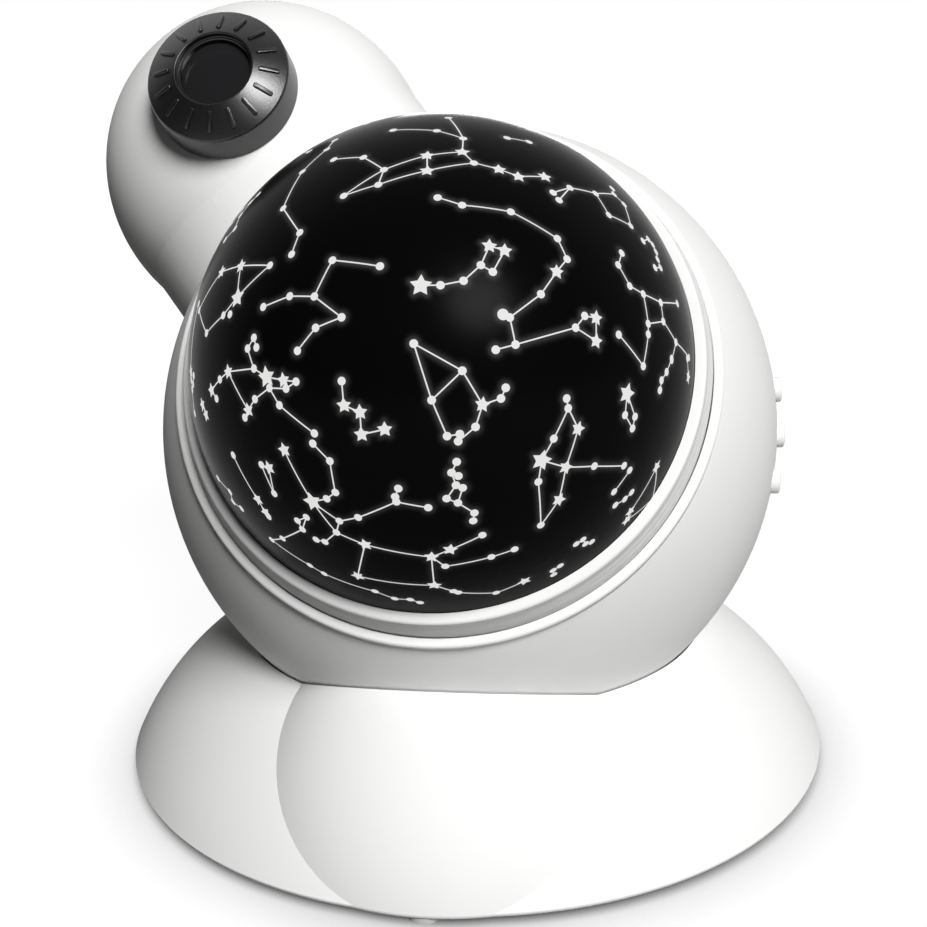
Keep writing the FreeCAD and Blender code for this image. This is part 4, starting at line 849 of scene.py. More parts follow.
    def rear(self, door: "BatteryDoor", slot: "DiscSlot", stem: "StemSlot") -> None:
        """Build and deliver the rear half.

        Args:
            door: The battery door, whose opening is cut.
            slot: The slot for the picture disc.
            stem: The slot for the tilt stem.
        """
        shell = self.forms(False, 0.0)
        room = self.forms(False, self.wall)
        bosses, wells = [], []
        for angle in self.screw_angles:
            turn = math.radians(angle)
            centre = (self.screw_circle * math.cos(turn), self.screw_circle * math.sin(turn), 0)
            place = BALL @ Matrix.Translation(centre)
            boss = rod(self.screw_well + self.boss_wall, -self.screw_reach, OVER)
            bosses.append(placed(boss, "boss", place))
            well = rod(self.screw_well, -self.screw_reach, -self.screw_depth)
            wells.append(placed(well, "well", place))
        combine(room, *bosses, how=Operation.CUT)
        tools = [room, door.pillar("door_opening", 0.0), slot.tool(self), stem.tool(), *wells]
        combine(shell, *tools, how=Operation.CUT)
        deliver(smooth(shell, self.crease), "projector", WHITE, ("ball_rear_shell",))


@dataclass
class DiscSlot:
    """The slot at the end of the head where the picture disc's rim shows."""

    width: float = 54.0
    height: float = 4.0
    level: float = -3.0
    start: float = 35.4
    past_head: float = 10.0

    def tool(self, shells: BallShells) -> bpy.types.Object:
        """Return the block that cuts the slot.

        Args:
            shells: The ball's halves, for the head's size and place.

        Returns:
            The block.
        """
        low = (self.start, -self.width / 2, self.level - self.height / 2)
        high = (shells.head + self.past_head, self.width / 2, self.level + self.height / 2)
        turn = Matrix.Rotation(math.radians(180.0 - shells.head_angle), 4, "Z")
        return placed(block(low, high), "disc_slot", BALL @ shells.head_place @ turn)


@dataclass
class StemSlot:
    """The slot in the ball's underside that the tilt stem passes through."""

    half_width: float = 5.6
    depth: float = 100.0
    down: float = 11.7
    up: float = 33.7

    def tool(self) -> bpy.types.Object:
        """Return the wedge that cuts the slot.

        Returns:
            The wedge, with its edge through the ball's centre.
        """
        bm = bmesh.new()
        corners = [(0.0, 0.0)]
        for angle in (-self.down, self.up):
            turn = math.radians(angle)
            corners.append((self.depth * math.sin(turn), -self.depth * math.cos(turn)))
        face = bm.faces.new([bm.verts.new((-self.half_width, y, z)) for y, z in corners])
        raised(bm, [face], (2 * self.half_width, 0, 0))
        return placed(clean(bm), "stem_slot", LEVEL_BALL)


@dataclass
class BatteryDoor:
    """The battery door in the ball's back: a patch of its sphere."""

    half_width: float = 30.8
    half_height: float = 31.6
    corner: float = 5.0
    gap: float = 0.25
    ball: float = 90.0
    wall: float = 2.6
    depth: Point = (60.0, 120.0)
    screw_height: float = 27.0
    sink: float = 3.15
    sink_reach: Point = (-1.7, 9.0)
    bore: float = 1.65
    bore_reach: Point = (-12.0, 1.0)
    crease: float = 24.0

    def pillar(self, name: str, inset: float) -> bpy.types.Object:
        """Return the rounded bar through the back that bounds door or opening.

        Args:
            name: The object's name.
            inset: How far its sides are set in; 0 for the opening.

        Returns:
            The bar.
        """
        width, height = self.half_width - inset, self.half_height - inset
        bm = block((-width, self.depth[0], -height), (width, self.depth[1], height))
        round_off(bm, edges_along(bm, 1), self.corner - inset, 10)
        return placed(bm, name, LEVEL_BALL)

    def build(self) -> None:
        """Build and deliver the door."""
        outer = arc((0.0, 0.0), self.ball, -90.0, 90.0, steps=96)
        door = placed(turned(outer, segments=176), "battery_door_smooth", LEVEL_BALL)
        inner = arc((0.0, 0.0), self.ball - self.wall, -90.0, 90.0, steps=48)
        core = placed(turned(inner, segments=96), "door_core", LEVEL_BALL)
        combine(door, self.pillar("door_bar", self.gap), how=Operation.SHARE)
        back = LEVEL_BALL @ (Matrix.Translation((0, 0, self.screw_height))
                             @ Matrix.Rotation(-math.pi / 2, 4, "X"))
        seat = rise(self.ball, self.screw_height)
        sink, bore = (placed(rod(radius, seat + low, seat + high), "screw_hole", back)
                      for radius, (low, high) in ((self.sink, self.sink_reach),
                                                  (self.bore, self.bore_reach)))
        combine(door, core, sink, bore, how=Operation.CUT)
        deliver(smooth(door, self.crease), "projector", WHITE, ("battery_door",))


# -------------------------------------------------------------- printed sky
class Mark(Enum):
    """How a star is printed: its sign in a figure's text."""

    DOT = ""
    BROAD = "o"
    STAR = "*"
    BRIGHT = "**"


@dataclass(frozen=True)
class Figure:
    """One figure of the printed sky.

    Each star is a letter, its hour of right ascension, its degrees of declination and the
    sign of its mark. Each run is a row of letters that one line joins.
    """

    name: str
    stars: str
    runs: str


NORTHERN_SKY = (
    Figure("little_bear", "A 2.53 89.3 **; B 17.54 86.6; C 16.77 82.0; D 15.73 77.8;"
           " E 14.85 74.2 *; F 15.35 71.8 *; G 16.29 75.8", "ABCDEFGD"),
    Figure("great_bear", "A 13.79 49.3 *; B 13.40 54.9 *; C 12.90 56.0 *; D 12.26 57.0;"
           " E 11.06 61.8 *; F 11.03 56.4 *; G 11.87 53.9 *; H 9.53 63.1; I 8.50 60.7;"
           " J 9.85 59.0; K 9.51 51.5; L 8.95 45.9; M 11.77 47.9; N 11.18 44.9;"
           " O 10.30 41.8; P 11.33 34.6", "ABCDEFGD EHIJF JH JKL GMNO MP"),
    Figure("dragon", "A 11.53 69.7; B 12.57 70.2; C 14.09 64.8; D 15.44 59.0; E 16.06 58.6;"
           " F 16.43 61.9 *; G 17.21 65.9; H 18.43 72.9 o; h 18.43 71.4; I 19.24 67.8;"
           " J 19.88 70.3; K 17.90 57.1; L 17.53 55.4; M 17.49 52.5 *; N 18.00 51.5 *",
           "ABCDEFGhI JIKLMNK"),
    Figure("king", "A 21.31 62.8 *; B 21.47 70.7; C 23.66 77.6; D 22.81 66.4; E 22.49 58.7;"
           " F 22.16 58.6; G 22.24 57.2; H 21.72 59.1; I 20.76 62.0; J 20.47 63.2",
           "ABCDEFGHAIJ BD"),
    Figure("queen", "A 0.13 59.4 *; B 0.67 56.7 *; C 0.92 60.9 *; D 1.41 60.4 *; E 1.86 64.2",
           "ABCDE"),
    Figure("giraffe", "A 4.90 66.8; B 5.07 60.7; C 4.96 53.4; D 3.47 60.1; E 3.73 72.0;"
           " F 6.31 69.6; G 6.68 80.2; H 3.81 65.9", "GFABC AEHD"),
    Figure("charioteer", "A 5.36 44.4 **; B 6.04 43.0 *; C 6.01 34.1 *; D 5.49 23.3;"
           " E 4.95 30.8; F 5.06 42.0; G 5.10 39.2; H 5.99 53.5", "DCBHAB AGED"),
    Figure("lynx", "A 9.24 33.0; B 9.00 37.6; C 8.34 41.2; D 7.43 47.8; E 6.96 58.1;"
           " F 6.31 58.8", "ABCDEF"),
    Figure("twins", "A 7.64 28.0; B 7.47 26.9; C 7.20 26.3; D 6.90 29.5; E 6.71 25.8;"
           " F 7.34 22.0; G 7.07 20.6; H 6.63 16.4", "ACDE BFGH AB"),
    Figure("hero", "A 2.83 56.3; B 3.08 53.8 *; C 3.40 50.2 **; D 3.73 47.7; E 4.01 39.1 *;"
           " F 4.00 35.0; G 3.96 29.9 *; H 3.77 31.1; I 2.88 53.3; J 3.16 49.6; K 3.20 44.4;"
           " L 3.14 40.9 *; M 3.09 38.7; N 2.72 49.5; O 1.70 51.2; P 4.19 47.4; Q 4.34 49.9;"
           " R 4.11 50.1", "HGFEDCBAIJKLM EL JNO DP PQR"),
    Figure("seven_sisters", "A 3.92 22.2 *; B 3.74 22.6 *", ""),
    Figure("princess", "A 1.62 49.0; B 1.13 47.8; C 0.82 41.3; D 0.94 38.6; E 1.17 35.7 **;"
           " F 2.07 42.6 *; G 0.62 34.2; H 0.63 30.4; I 0.79 25.5; J 0.94 24.7; K 0.31 37.2;"
           " L 23.65 43.7; M 23.68 44.9; N 23.63 47.0; O 23.05 42.8; P 0.13 29.8 *",
           "ABCDE FEG EHP GH HIJ GKLO LMN"),
    Figure("triangle", "A 2.30 34.0; B 2.15 35.3 *; C 1.86 30.0", "ABCA"),
    Figure("ram", "A 2.85 27.0; B 2.10 23.2 *; C 1.89 21.4 *; D 1.82 20.7", "ABCD"),
    Figure("fishes", "A 1.19 30.2; B 1.32 27.3; C 1.20 25.5; D 1.50 16.4; E 1.69 11.2;"
           " F 0.99 11.7; G 0.75 11.1; H 23.95 11.3; I 23.66 9.2; J 23.43 9.8; K 23.29 8.4",
           "ABCA CDE EFGHIJK"),
    Figure("whale", "A 2.98 9.4; B 2.65 12.4; C 2.55 9.2; D 2.35 11.6", "ABCD"),
    Figure("winged_horse", "A 0.13 29.8; B 23.05 28.7 *; C 0.21 16.9 *; D 23.05 17.9 *;"
           " E 22.78 14.7; F 22.71 13.8; G 22.17 10.3; H 21.73 12.0 *; I 22.74 30.8 *;"
           " J 22.18 33.6; K 22.85 25.3; L 22.12 26.1; M 21.74 26.3",
           "ABD ACD DEFGH BIJ BKLM"),
    Figure("foal", "A 21.16 11.6; B 21.28 11.2; C 21.29 8.7", "ABC"),
    Figure("lizard", "A 22.37 52.9; B 22.52 50.7; C 22.39 49.7; D 22.47 47.7; E 22.35 46.8;"
           " F 22.69 44.8; G 22.49 43.4; H 22.23 40.1; I 22.28 38.1", "ABDEG DFGHI"),
    Figure("swan", "A 20.70 45.5 **; B 20.38 40.3 *; C 19.95 34.9; D 19.54 27.3;"
           " E 19.75 45.2 *; F 19.61 50.3; G 19.48 52.0; H 20.26 47.8; I 20.95 41.4;"
           " J 21.22 30.2; K 20.77 34.1 *", "GFEBKJIAHF ABCD"),
    Figure("fox", "A 19.51 24.4; B 19.92 23.7", "AB"),
    Figure("arrow", "A 20.01 19.3; B 19.83 17.9; C 19.68 17.5", "ABC"),
    Figure("eagle", "A 19.84 10.9 *; B 19.95 8.7 *; C 19.10 14.0 *; D 19.40 2.8", "BACDB"),
    Figure("lyre", "A 18.60 38.7 **; B 18.93 36.4; C 18.83 33.2; D 19.01 32.1", "ABDCA"),
    Figure("dolphin", "A 20.82 17.0; B 20.70 16.9; C 20.69 14.4; D 20.59 13.3", "ABCD"),
    Figure("herdsman", "A 14.23 51.7; B 14.46 52.0; C 14.28 45.8; D 14.56 38.8;"
           " E 14.61 30.2; F 15.07 39.9; G 15.30 33.0; H 14.83 28.9; I 14.47 28.1",
           "ACB CDEI DFGHE"),
    Figure("hounds", "A 12.93 38.3; B 12.56 41.4", "AB"),
    Figure("northern_crown", "A 15.59 30.6; B 15.52 26.9; C 15.61 25.6; D 15.74 25.5;"
           " E 15.89 26.4; F 16.04 26.4; G 16.08 29.6", "ABCDEFG"),
    Figure("strong_man", "A 17.21 36.5; B 16.68 37.7; C 16.72 30.6; D 17.04 30.1;"
           " E 16.57 20.6; G 17.26 23.5; H 17.59 25.2; J 17.40 36.3; K 17.99 36.4;"
           " L 17.66 45.8; M 16.59 42.2; N 16.18 44.6; O 15.91 42.1; P 17.31 13.4;"
           " Q 17.83 26.8; R 18.01 28.3; S 18.17 27.9; U 17.57 25.3",
           "ONMBCE BAJK LK ADC DGHUQRS GP"),
    Figure("snake_bearer", "A 17.60 12.6 *; B 17.35 14.9", "AB"),
    Figure("crab", "A 8.98 11.9; B 8.28 9.2; C 8.75 18.2; D 8.72 21.5; E 8.78 28.8", "ACB CDE"),
    Figure("lion", "A 9.76 23.8; B 9.88 26.0; C 10.28 23.4; D 10.33 19.8 *; E 10.12 16.8;"
           " F 10.14 12.0 *; G 11.24 15.4; H 11.24 20.5; I 11.82 14.6 *", "ABCDEFGIHD GH"),
    Figure("bull", "A 4.60 16.5 *; B 4.48 19.2; C 4.38 17.5; D 4.33 15.6; E 4.48 15.9;"
           " F 4.01 12.5; G 5.63 21.1", "GAEDCB DF"),
    Figure("hunter", "A 5.92 7.4 *; B 5.42 6.3 *; C 5.59 9.9", "ACB"),
    Figure("little_dog", "A 7.66 5.2 *; B 7.45 8.3", "AB"),
)


@dataclass
class StarMap:
    """The clear windows of the dome's print: the stars and the lines between them, which glow with
    painted light of their own.
    """

    radius: float = 64.4
    level: float = 57.5
    proud: float = 0.035
    sunk: float = 0.1
    line_sunk: float = 0.005
    line_width: float = 0.32
    line_step: float = 2.0
    dot_sides: int = 14
    points: int = 5
    waist: float = 0.53
    pole_hour: float = 11.217
    squeeze: tuple[float, float] = (0.9348, -0.013)
    lean: tuple[float, float] = (0.0326, 0.0838)
    lowest: float = 6.0
    reach: dict[Mark, float] = field(default_factory=lambda: {
        Mark.DOT: 0.93, Mark.BROAD: 1.25, Mark.STAR: 1.75, Mark.BRIGHT: 2.45})

    def direction(self, hour: float, degrees: float) -> Vector:
        """Return the way from the dome's centre to a place in the sky.

        Args:
            hour: Right ascension in hours.
            degrees: Declination.

        Returns:
            A unit vector in the ball's place.
        """
        away = math.radians(90.0 - degrees)
        fall = self.squeeze[0] * away + self.squeeze[1] * away ** 3
        turn = math.radians((hour - self.pole_hour) * DEGREES_PER_HOUR)
        way = Vector((math.sin(fall) * math.sin(turn), math.sin(fall) * math.cos(turn),
                      math.cos(fall)))
        lean = Vector((*self.lean, 0.0))
        return Matrix.Rotation(lean.length, 3, lean.normalized()) @ way

    def seat(self, way: Vector) -> Matrix:
        """Return a star's place.

        Args:
            way: The way from the dome's centre to the star.

        Returns:
            The place in the dome's skin whose Z points that way, with its X kept level.
        """
        side = Vector((0, 1, 0)).cross(way).normalized()
        turn = Matrix((side, way.cross(side), way)).transposed().to_4x4()
        return Matrix.Translation((0, 0, self.level)) @ turn @ Matrix.Translation(
            (0, 0, self.radius - self.sunk))

    def mark(self, form: bmesh.types.BMesh, kind: Mark, way: Vector) -> None:
        """Print a star: a round dot, or a star with points.

        Args:
            form: The figure's form.
            kind: The sort of mark.
            way: The way from the dome's centre to the star.
        """
        pointed = kind in (Mark.STAR, Mark.BRIGHT)
        reach = self.reach[kind]
        made = bmesh.ops.create_circle(form, cap_ends=True, cap_tris=True, radius=reach,
                                       segments=2 * self.points if pointed else self.dot_sides)
        rim = [v for v in made["verts"] if v.co.length > reach / 2]
        if pointed:
            bmesh.ops.scale(form, verts=rim[1::2], vec=(self.waist, self.waist, 1))
        faces = list(dict.fromkeys(f for v in made["verts"] for f in v.link_faces))
        top = raised(form, faces, (0, 0, self.sunk + self.proud))
        bmesh.ops.transform(form, matrix=self.seat(way), verts=made["verts"] + top)

    def line(self, form: bmesh.types.BMesh, start: Vector, stop: Vector) -> None:
        """Print the shortest line between two stars.

        Args:
            form: The figure's form.
            start: The way to one star.
            stop: The way to the other.
        """
        axis = start.cross(stop).normalized()
        half = axis * self.line_width / 2
        middle = Vector((0, 0, self.level))
        low = middle + start * (self.radius - self.sunk)
        high = middle + start * (self.radius + self.proud - self.line_sunk)
        corners = [form.verts.new(p) for p in (low - half, low + half, high + half, high - half)]
        angle = start.angle(stop)
        bmesh.ops.spin(form, geom=[form.faces.new(corners)], cent=middle, axis=axis,
                       dvec=(0, 0, 0), angle=angle,
                       steps=max(2, math.ceil(math.degrees(angle) / self.line_step)),
                       use_merge=False, use_duplicate=False)

    def figure(self, figure: Figure) -> bmesh.types.BMesh:
        """Return one figure, as far as the collar leaves it free.

        Args:
            figure: The figure.

        Returns:
            Its marks and lines, in the ball's place.
        """
        form = bmesh.new()
        ways = {}
        for star in figure.stars.split(";"):
            letter, hour, degrees, *sign = star.split()
            way = self.direction(float(hour), float(degrees))
            if way.z * self.radius > self.lowest:
                ways[letter] = way
                self.mark(form, Mark("".join(sign)), way)
        for run in figure.runs.split():
            for first, last in zip(run, run[1:]):
                if first in ways and last in ways:
                    self.line(form, ways[first], ways[last])
        return form

    def build(self) -> BVHTree:
        """Print and deliver the sky.

        Returns:
            A tree of its faces, in the ball's place.
        """
        sky = bmesh.new()
        for figure in NORTHERN_SKY:
            join(sky, self.figure(figure))
        bmesh.ops.recalc_face_normals(sky, faces=sky.faces)
        tree = BVHTree.FromBMesh(sky)
        # the windows glow by painted light, not by the lamp inside
        deliver(placed(sky, "star_map_windows", BALL), "dome", STAR_PAINTED_GLOW)
        return tree


# ----------------------------------------------------------- dome and collar
@dataclass
class StarDome:
    """The printed half sphere and the collar that holds it."""

    radius: float = 64.4
    wall: float = 1.6
    level: float = 57.5
    dome_crease: float = 50.0
    # width and strength of the painted halo round the star windows
    painted_halo: float = 0.75
    painted_halo_strength: float = 0.05
    collar: float = 68.7
    collar_foot: float = 48.5
    collar_wall: float = 2.4
    collar_crease: float = 24.0
    knee: float = 58.8
    crown: float = 66.9
    crown_level: float = 65.6
    crown_round: float = 1.0
    ledge: float = 61.2
    ledge_height: float = 2.6
    groove: float = 0.16
    groove_half: float = 0.12
    groove_levels: tuple[float, ...] = (60.4, 62.6)
    gap: float = 0.12

    def dome(self, windows: BVHTree) -> None:
        """Build and deliver the dome, with a painted halo of light beside its windows.

        Args:
            windows: The faces of the print's windows, in the ball's place.
        """
        outer = arc((0.0, self.level), self.radius, 0.0, 90.0, steps=140)
        inner = arc((0.0, self.level), self.radius - self.wall, 90.0, 0.0, steps=20)
        form = turned(outer + inner, segments=440)
        # painted halo: each vertex near a star window gets a value that pales the dome's colour
        painted_halo = form.verts.layers.float.new("painted_halo")
        for vert in form.verts:
            distance = windows.find_nearest(vert.co, 3 * self.painted_halo)[3]
            if distance is not None:
                vert[painted_halo] = self.painted_halo_strength * math.exp(-(distance / self.painted_halo) ** 2)
        dome = placed(form, "star_dome_smooth", BALL)
        deliver(smooth(dome, self.dome_crease), "dome", DOME_BLACK, ("star_dome",))

    def ring(self) -> None:
        """Build and deliver the collar, with two fine lines round its wall."""
        corner = arc((self.crown - self.crown_round, self.crown_level - self.crown_round),
                     self.crown_round, 0.0, 90.0, steps=8)
        slope = (self.crown - self.collar) / (corner[0][1] - self.knee)
        wall = []
        for level in self.groove_levels:
            reach = self.collar + slope * (level - self.knee)
            wall += [(reach, level - self.groove_half), (reach - self.groove, level),
                     (reach + slope * self.groove_half, level + self.groove_half)]
        bore = self.radius + self.gap
        throat = arc((0.0, self.level), bore, angle_at(bore, self.crown_level - self.level), 0.0,
                     steps=8)
        under = self.level - self.ledge_height
        inner = self.collar - self.collar_wall
        profile = [(self.ledge, under), (inner, under), (inner, self.collar_foot),
                   (self.collar, self.collar_foot), (self.collar, self.knee), *wall, *corner,
                   *throat, (self.ledge, self.level)]
        ring = placed(turned(profile, segments=224), "dome_collar_smooth", BALL)
        deliver(smooth(ring, self.collar_crease), "dome", COLLAR_WHITE,
                ("dome_collar",))

    def build(self) -> None:
        """Build the printed sky, dome and collar."""
        self.dome(StarMap(self.radius, self.level).build())
        self.ring()


# --------------------------------------------------------------- focus knob
@dataclass
class FocusKnob:
    """The knob round the projection lens: body, ribs and smoked window."""

    radius: float = 20.9
    bore: float = 17.4
    back: float = 52.4
    shoulder: float = 57.6
    edge_inset: float = 1.2
    edge_round: float = 0.9
    slope_inset: float = 1.1
    slope_turn: float = 62.0
    rim: float = 11.3
    rim_level: float = 61.4
    rim_round: float = 0.4
    mouth: float = 11.0
    mouth_bevel: float = 0.15
    step: float = 10.2
    step_level: float = 59.6
    step_bevel: float = 0.2
    web: float = 55.0
    crease: float = 28.0
    ribs: int = 16
    rib_inner: float = 12.6
    rib_outer: float = 18.6
    rib_width: float = 1.3
    rib_rise: float = 0.7
    rib_round: float = 0.28
    rib_flat: float = 0.01
    window: float = 56.6
    window_ledge: float = 1.5
    window_edge: float = 1.2
    window_crown: float = 0.9
    window_gap: float = 0.05

    def body(self) -> bmesh.types.BMesh:
        """Return the turned body of the knob.

        Returns:
            The body in the head's place.
        """
        foot = arc((0.0, 0.0), self.back, angle_out(self.back, self.bore),
                   angle_out(self.back, self.radius), steps=6)
        edge = arc((self.radius - self.edge_inset, self.shoulder - self.edge_round),
                   self.edge_round, 0.0, self.slope_turn, steps=6)
        lip = arc((self.mouth + self.rim_round, self.rim_level - self.rim_round),
                  self.rim_round, self.slope_turn, 180.0, steps=5)
        seat = self.step - self.window_ledge
        profile = [*foot, *edge, *lip, (self.mouth, self.step_level + self.mouth_bevel),
                   (self.mouth - self.mouth_bevel, self.step_level),
                   (self.step + self.step_bevel, self.step_level),
                   (self.step, self.step_level - self.step_bevel), (self.step, self.window),
                   (seat, self.window), (seat, self.web), (self.bore, self.web)]
        return turned(profile, segments=192)

    def rib(self) -> bmesh.types.BMesh:
        """Return one rib.

        Returns:
            The rib, lying along X on the sloping face.
        """
        start = self.radius - self.slope_inset
        slope = math.atan2(self.rim_level - self.shoulder, start - self.rim)
        half = Vector((self.rib_outer - self.rib_inner, self.rib_width, 2 * self.rib_rise)) / 2
        bm = block(tuple(-half), tuple(half))
        round_off(bm, edges_along(bm, 2), self.rib_width / 2 - self.rib_flat, 5)
        top = [e for e in bm.edges if min(v.co.z for v in e.verts) > 0.0]
        round_off(bm, top, self.rib_round, 3)
        middle = (self.rib_inner + self.rib_outer) / 2
        level = self.shoulder + (start - middle) * math.tan(slope)
        bmesh.ops.transform(bm, matrix=Matrix.Translation((middle, 0, level))
                            @ Matrix.Rotation(slope, 4, "Y"), verts=bm.verts)
        return bm

    def glass(self) -> bmesh.types.BMesh:
        """Return the window, with its crowned face.

        Returns:
            The window in the head's place.
        """
        swell = (self.step ** 2 + self.window_crown ** 2) / (2 * self.window_crown)
        top = self.window + self.window_edge
        reach = self.step - self.window_gap
        curve = arc((0.0, top + self.window_crown - swell), swell, angle_out(swell, self.step),
                    90.0, steps=16)
        profile = [(0.0, self.window), (reach, self.window), (reach, top), *curve[1:]]
        return turned(profile, segments=96)

    def build(self) -> None:
        """Build and deliver knob, ribs and window."""
        knob = self.body()
        for step in range(self.ribs):
            rib = self.rib()
            turn = Matrix.Rotation(math.tau * step / self.ribs, 4, "Z")
            bmesh.ops.transform(rib, matrix=turn, verts=rib.verts)
            join(knob, rib)
        deliver(smooth(placed(knob, "focus_knob_smooth", HEAD), self.crease), "focus",
                KNOB_BLACK, ("focus_knob",))
        glass = placed(self.glass(), "lens_window_smooth", HEAD)
        deliver(smooth(glass), "focus", SMOKED, ("lens_window",))


# ------------------------------------------------------------------ buttons
@dataclass
class Buttons:
    """The three push buttons, with dished tops."""

    radius: float = 3.6
    height: float = 8.5
    proud: float = 1.9
    edge: float = 0.8
    dish: float = 0.25
    dish_edge: float = 0.15
    dish_rim: float = 1.5
    stem: float = 1.8
    stem_length: float = 0.7
    ball: float = 90.0
    crease: float = 40.0
    names: tuple[str, ...] = ("lower", "middle", "upper")

    def cap(self, crown: float) -> bmesh.types.BMesh:
        """Return a cap with the stem below it.

        Args:
            crown: The height of its top.

        Returns:
            The cap in the button's place.
        """
        corner = arc((self.radius - self.edge, crown - self.edge), self.edge, 0.0, 90.0, steps=6)
        flange = crown - self.height
        foot = flange - self.stem_length
        profile = [(0.0, foot), (self.stem, foot), (self.stem, flange), (self.radius, flange),
                   *corner, (self.radius - self.dish_rim, crown - self.dish_edge),
                   (0.0, crown - self.dish)]
        return turned(profile, segments=64)

    def build(self, column: ButtonColumn) -> None:
        """Build and deliver the three buttons.

        Args:
            column: Where they are.
        """
        for name, (offset, place) in zip(self.names, column.places()):
            cap = placed(self.cap(rise(self.ball, offset) + self.proud),
                         "button_%s_smooth" % name, place)
            deliver(smooth(cap, self.crease), "%s_button" % name, BUTTON_WHITE,
                    ("button_%s" % name,))


# ------------------------------------------------------------- inner pieces
@dataclass
class InnerWorks:
    """The frame's own nodes that stay as they are, each with its finish."""

    finishes: dict[str, Finish] = field(default_factory=lambda: {
        "base_plate": GREY_UNDERSIDE, "base_screws": STEEL, "rubber_feet": RUBBER,
        "tilt_stem": GREY_UNDERSIDE, "tilt_shoe": NATURAL, "spring_washer": STEEL,
        "clamp_bolt": STEEL, "shell_screws": STEEL, "chassis_plate": BLACK_INSIDE,
        "chassis_screws": STEEL, "turntable_retainer": STEEL, "gear_motor": STEEL,
        "lamp_post": BLACK_INSIDE, "star_lamp": LAMP, "main_board": LAMINATE,
        "button_board": LAMINATE, "battery_tray": BLACK_INSIDE, "battery_cells": SLEEVE,
        "battery_contacts": STEEL, "battery_door_screw": STEEL, "focus_guide": BLACK_INSIDE,
        "disc_carrier": BLACK_INSIDE, "disc_spindle": BRASS, "lamp_tube": BLACK_INSIDE,
        "condenser_lens": CLEAR, "head_lamp_board": LAMINATE, "head_lamp": LAMP,
        "turntable": BLACK_INSIDE, "ring_gear": NATURAL, "drive_pinion": NATURAL,
        "lens_barrel": BLACK_INSIDE, "projection_lens": CLEAR, "picture_disc": BLACK_INSIDE,
    })

    def build(self) -> None:
        """Dress each node."""
        for name, finish in self.finishes.items():
            dress(frame["nodes"][name], finish)
            log.info("%s: %s", name, finish.name)


# ------------------------------------------------------------------- studio
@dataclass(frozen=True)
class SoftLamp:
    """A square soft lamp that looks at the ball, in degrees, metres and watts."""

    name: str
    azimuth: float
    elevation: float
    distance: float
    power: float
    size: float


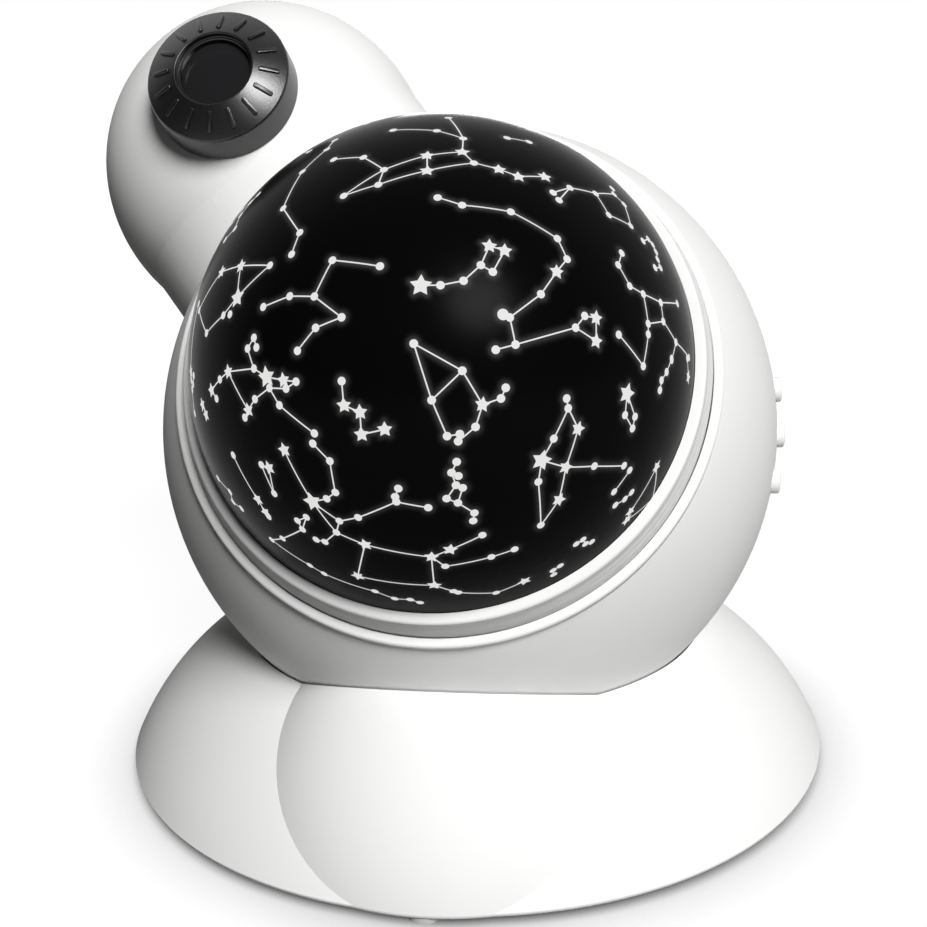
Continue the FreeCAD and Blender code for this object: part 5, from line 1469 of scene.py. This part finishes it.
@dataclass
class Studio:
    """A white table, lamps and the camera, in metres."""

    eye: Triple = (0.0507, -0.3718, 0.1945)
    azimuth: float = 8.09
    elevation: float = 16.15
    roll: float = -1.41
    lens: float = 50.0
    sensor: float = 36.0
    nearest: float = 0.01
    surround: float = 0.02
    sun: float = 3.9
    sun_azimuth: float = 29.5
    sun_elevation: float = 40.0
    sun_width: float = 24.0
    rear: SoftLamp = SoftLamp("rear", azimuth=188.0, elevation=4.0, distance=2.4, power=17.0,
                              size=0.7)
    floor_size: float = 60.0
    floor_glow: float = 0.95
    floor_colour: float = 0.1
    floor_roughness: float = 0.9
    # reach and samples of the painted contact shadow on the floor
    painted_contact_shadow: float = 0.022
    painted_contact_shadow_samples: int = 8
    dim_front: float = 0.04
    dim_range: Point = (-0.3, 0.4)

    def stand(self, name: str, data: bpy.types.ID, place: Matrix) -> bpy.types.Object:
        """Put up a lamp or the camera.

        Args:
            name: Its name.
            data: Its lamp or camera data.
            place: Its place.

        Returns:
            The linked object.
        """
        item = bpy.data.objects.new(name, data)
        item.matrix_world = place
        bpy.context.scene.collection.objects.link(item)
        return item

    def camera(self) -> None:
        """Put up the camera and make it the scene's."""
        data = bpy.data.cameras.new("camera")
        data.lens = self.lens
        data.sensor_width = self.sensor
        data.clip_start = self.nearest
        turn = (aimed(self.azimuth, self.elevation)
                @ Matrix.Rotation(math.radians(self.roll), 4, "Z"))
        bpy.context.scene.camera = self.stand("camera", data,
                                              Matrix.Translation(self.eye) @ turn)

    def key(self) -> None:
        """Hang the key light, broad and soft, far off to the right and above."""
        data = bpy.data.lights.new("key", "SUN")
        data.energy = self.sun
        data.angle = math.radians(self.sun_width)
        self.stand("key", data, aimed(self.sun_azimuth, self.sun_elevation))

    def hang(self, lamp: SoftLamp) -> None:
        """Hang a soft lamp.

        Args:
            lamp: The lamp.
        """
        data = bpy.data.lights.new(lamp.name, "AREA")
        data.energy = lamp.power
        data.size = lamp.size
        self.stand(lamp.name, data,
                   Matrix.Translation(BALL_CENTRE) @ aimed(lamp.azimuth, lamp.elevation)
                   @ Matrix.Translation((0, 0, lamp.distance)))

    def seen(self, hand: Nodes, low: float, high: float) -> bpy.types.NodeSocket:
        """Return a value for what is seen, straight, in gloss or through glass.

        Args:
            hand: The nodes of the floor or the surround.
            low: The value for the light that it gives.
            high: The value for the view of it.

        Returns:
            The socket that puts the value out.
        """
        path = hand.add("ShaderNodeLightPath").outputs
        direct = hand.maths("MAXIMUM", path["Is Camera Ray"], path["Is Transmission Ray"])
        level = hand.add("ShaderNodeMapRange")
        hand.fill(level, {"Value": hand.maths("MAXIMUM", direct, path["Is Glossy Ray"]),
                          "To Min": low, "To Max": high})
        return level.outputs[0]

    def floor(self) -> None:
        """Lay a floor that shows as white, with a painted contact shadow that darkens it close to
        what stands on it.
        """
        bm = bmesh.new()
        bmesh.ops.create_grid(bm, x_segments=1, y_segments=1, size=self.floor_size / 2 / MM)
        item = placed(bm, "floor", LEVEL)
        made = bpy.data.materials.new("white_table")
        made.use_nodes = True
        hand = Nodes(made.node_tree)
        # painted contact shadow: ambient occlusion dims the floor's glow close to what stands on it
        painted_contact_shadow = hand.add("ShaderNodeAmbientOcclusion", samples=self.painted_contact_shadow_samples)
        hand.fill(painted_contact_shadow, {"Distance": self.painted_contact_shadow})
        glow = self.seen(hand, 0.0, self.floor_glow)
        hand.fill(made.node_tree.nodes["Principled BSDF"], {
            "Base Color": (*(self.floor_colour,) * 3, 1), "Roughness": self.floor_roughness,
            "Specular IOR Level": 0.0, "Emission Color": (1, 1, 1, 1),
            "Emission Strength": hand.maths("MULTIPLY", glow, painted_contact_shadow.outputs["AO"])})
        item.data.materials.append(made)

    def sky(self) -> None:
        """Set a surround that is seen as white, gives little light and is dim to gloss in front."""
        world = bpy.data.worlds.new("white_room")
        world.use_nodes = True
        hand = Nodes(world.node_tree)
        way = hand.add("ShaderNodeSeparateXYZ")
        hand.fill(way, {0: hand.add("ShaderNodeTexCoord").outputs["Generated"]})
        shade = hand.add("ShaderNodeMapRange", interpolation_type="SMOOTHSTEP")
        hand.fill(shade, {"Value": way.outputs["Y"], "From Min": self.dim_range[0],
                          "From Max": self.dim_range[1], "To Min": self.dim_front})
        glossy = hand.add("ShaderNodeMix", data_type="FLOAT")
        hand.fill(glossy, {"Factor": hand.add("ShaderNodeLightPath").outputs["Is Glossy Ray"],
                           "A": 1.0, "B": shade.outputs[0]})
        strength = hand.maths("MULTIPLY", self.seen(hand, self.surround, 1.0), glossy.outputs[0])
        hand.fill(world.node_tree.nodes["Background"],
                  {"Color": (1, 1, 1, 1), "Strength": strength})
        bpy.context.scene.world = world

    def build(self) -> None:
        """Build floor, surround, lamps and camera."""
        bpy.context.scene.view_settings.view_transform = "Standard"
        self.floor()
        self.sky()
        self.key()
        self.hang(self.rear)
        self.camera()


def main() -> None:
    """Build every sub-assembly in order."""
    logging.basicConfig(level=logging.INFO, format="%(name)s: %(message)s")
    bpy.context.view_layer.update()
    Studio().build()
    BellBase().build()
    shells = BallShells()
    door = BatteryDoor()
    column = ButtonColumn()
    shells.front(column)
    shells.rear(door, DiscSlot(), StemSlot())
    door.build()
    StarDome().build()
    FocusKnob().build()
    Buttons().build(column)
    InnerWorks().build()


if __name__ == "__main__":
    main()
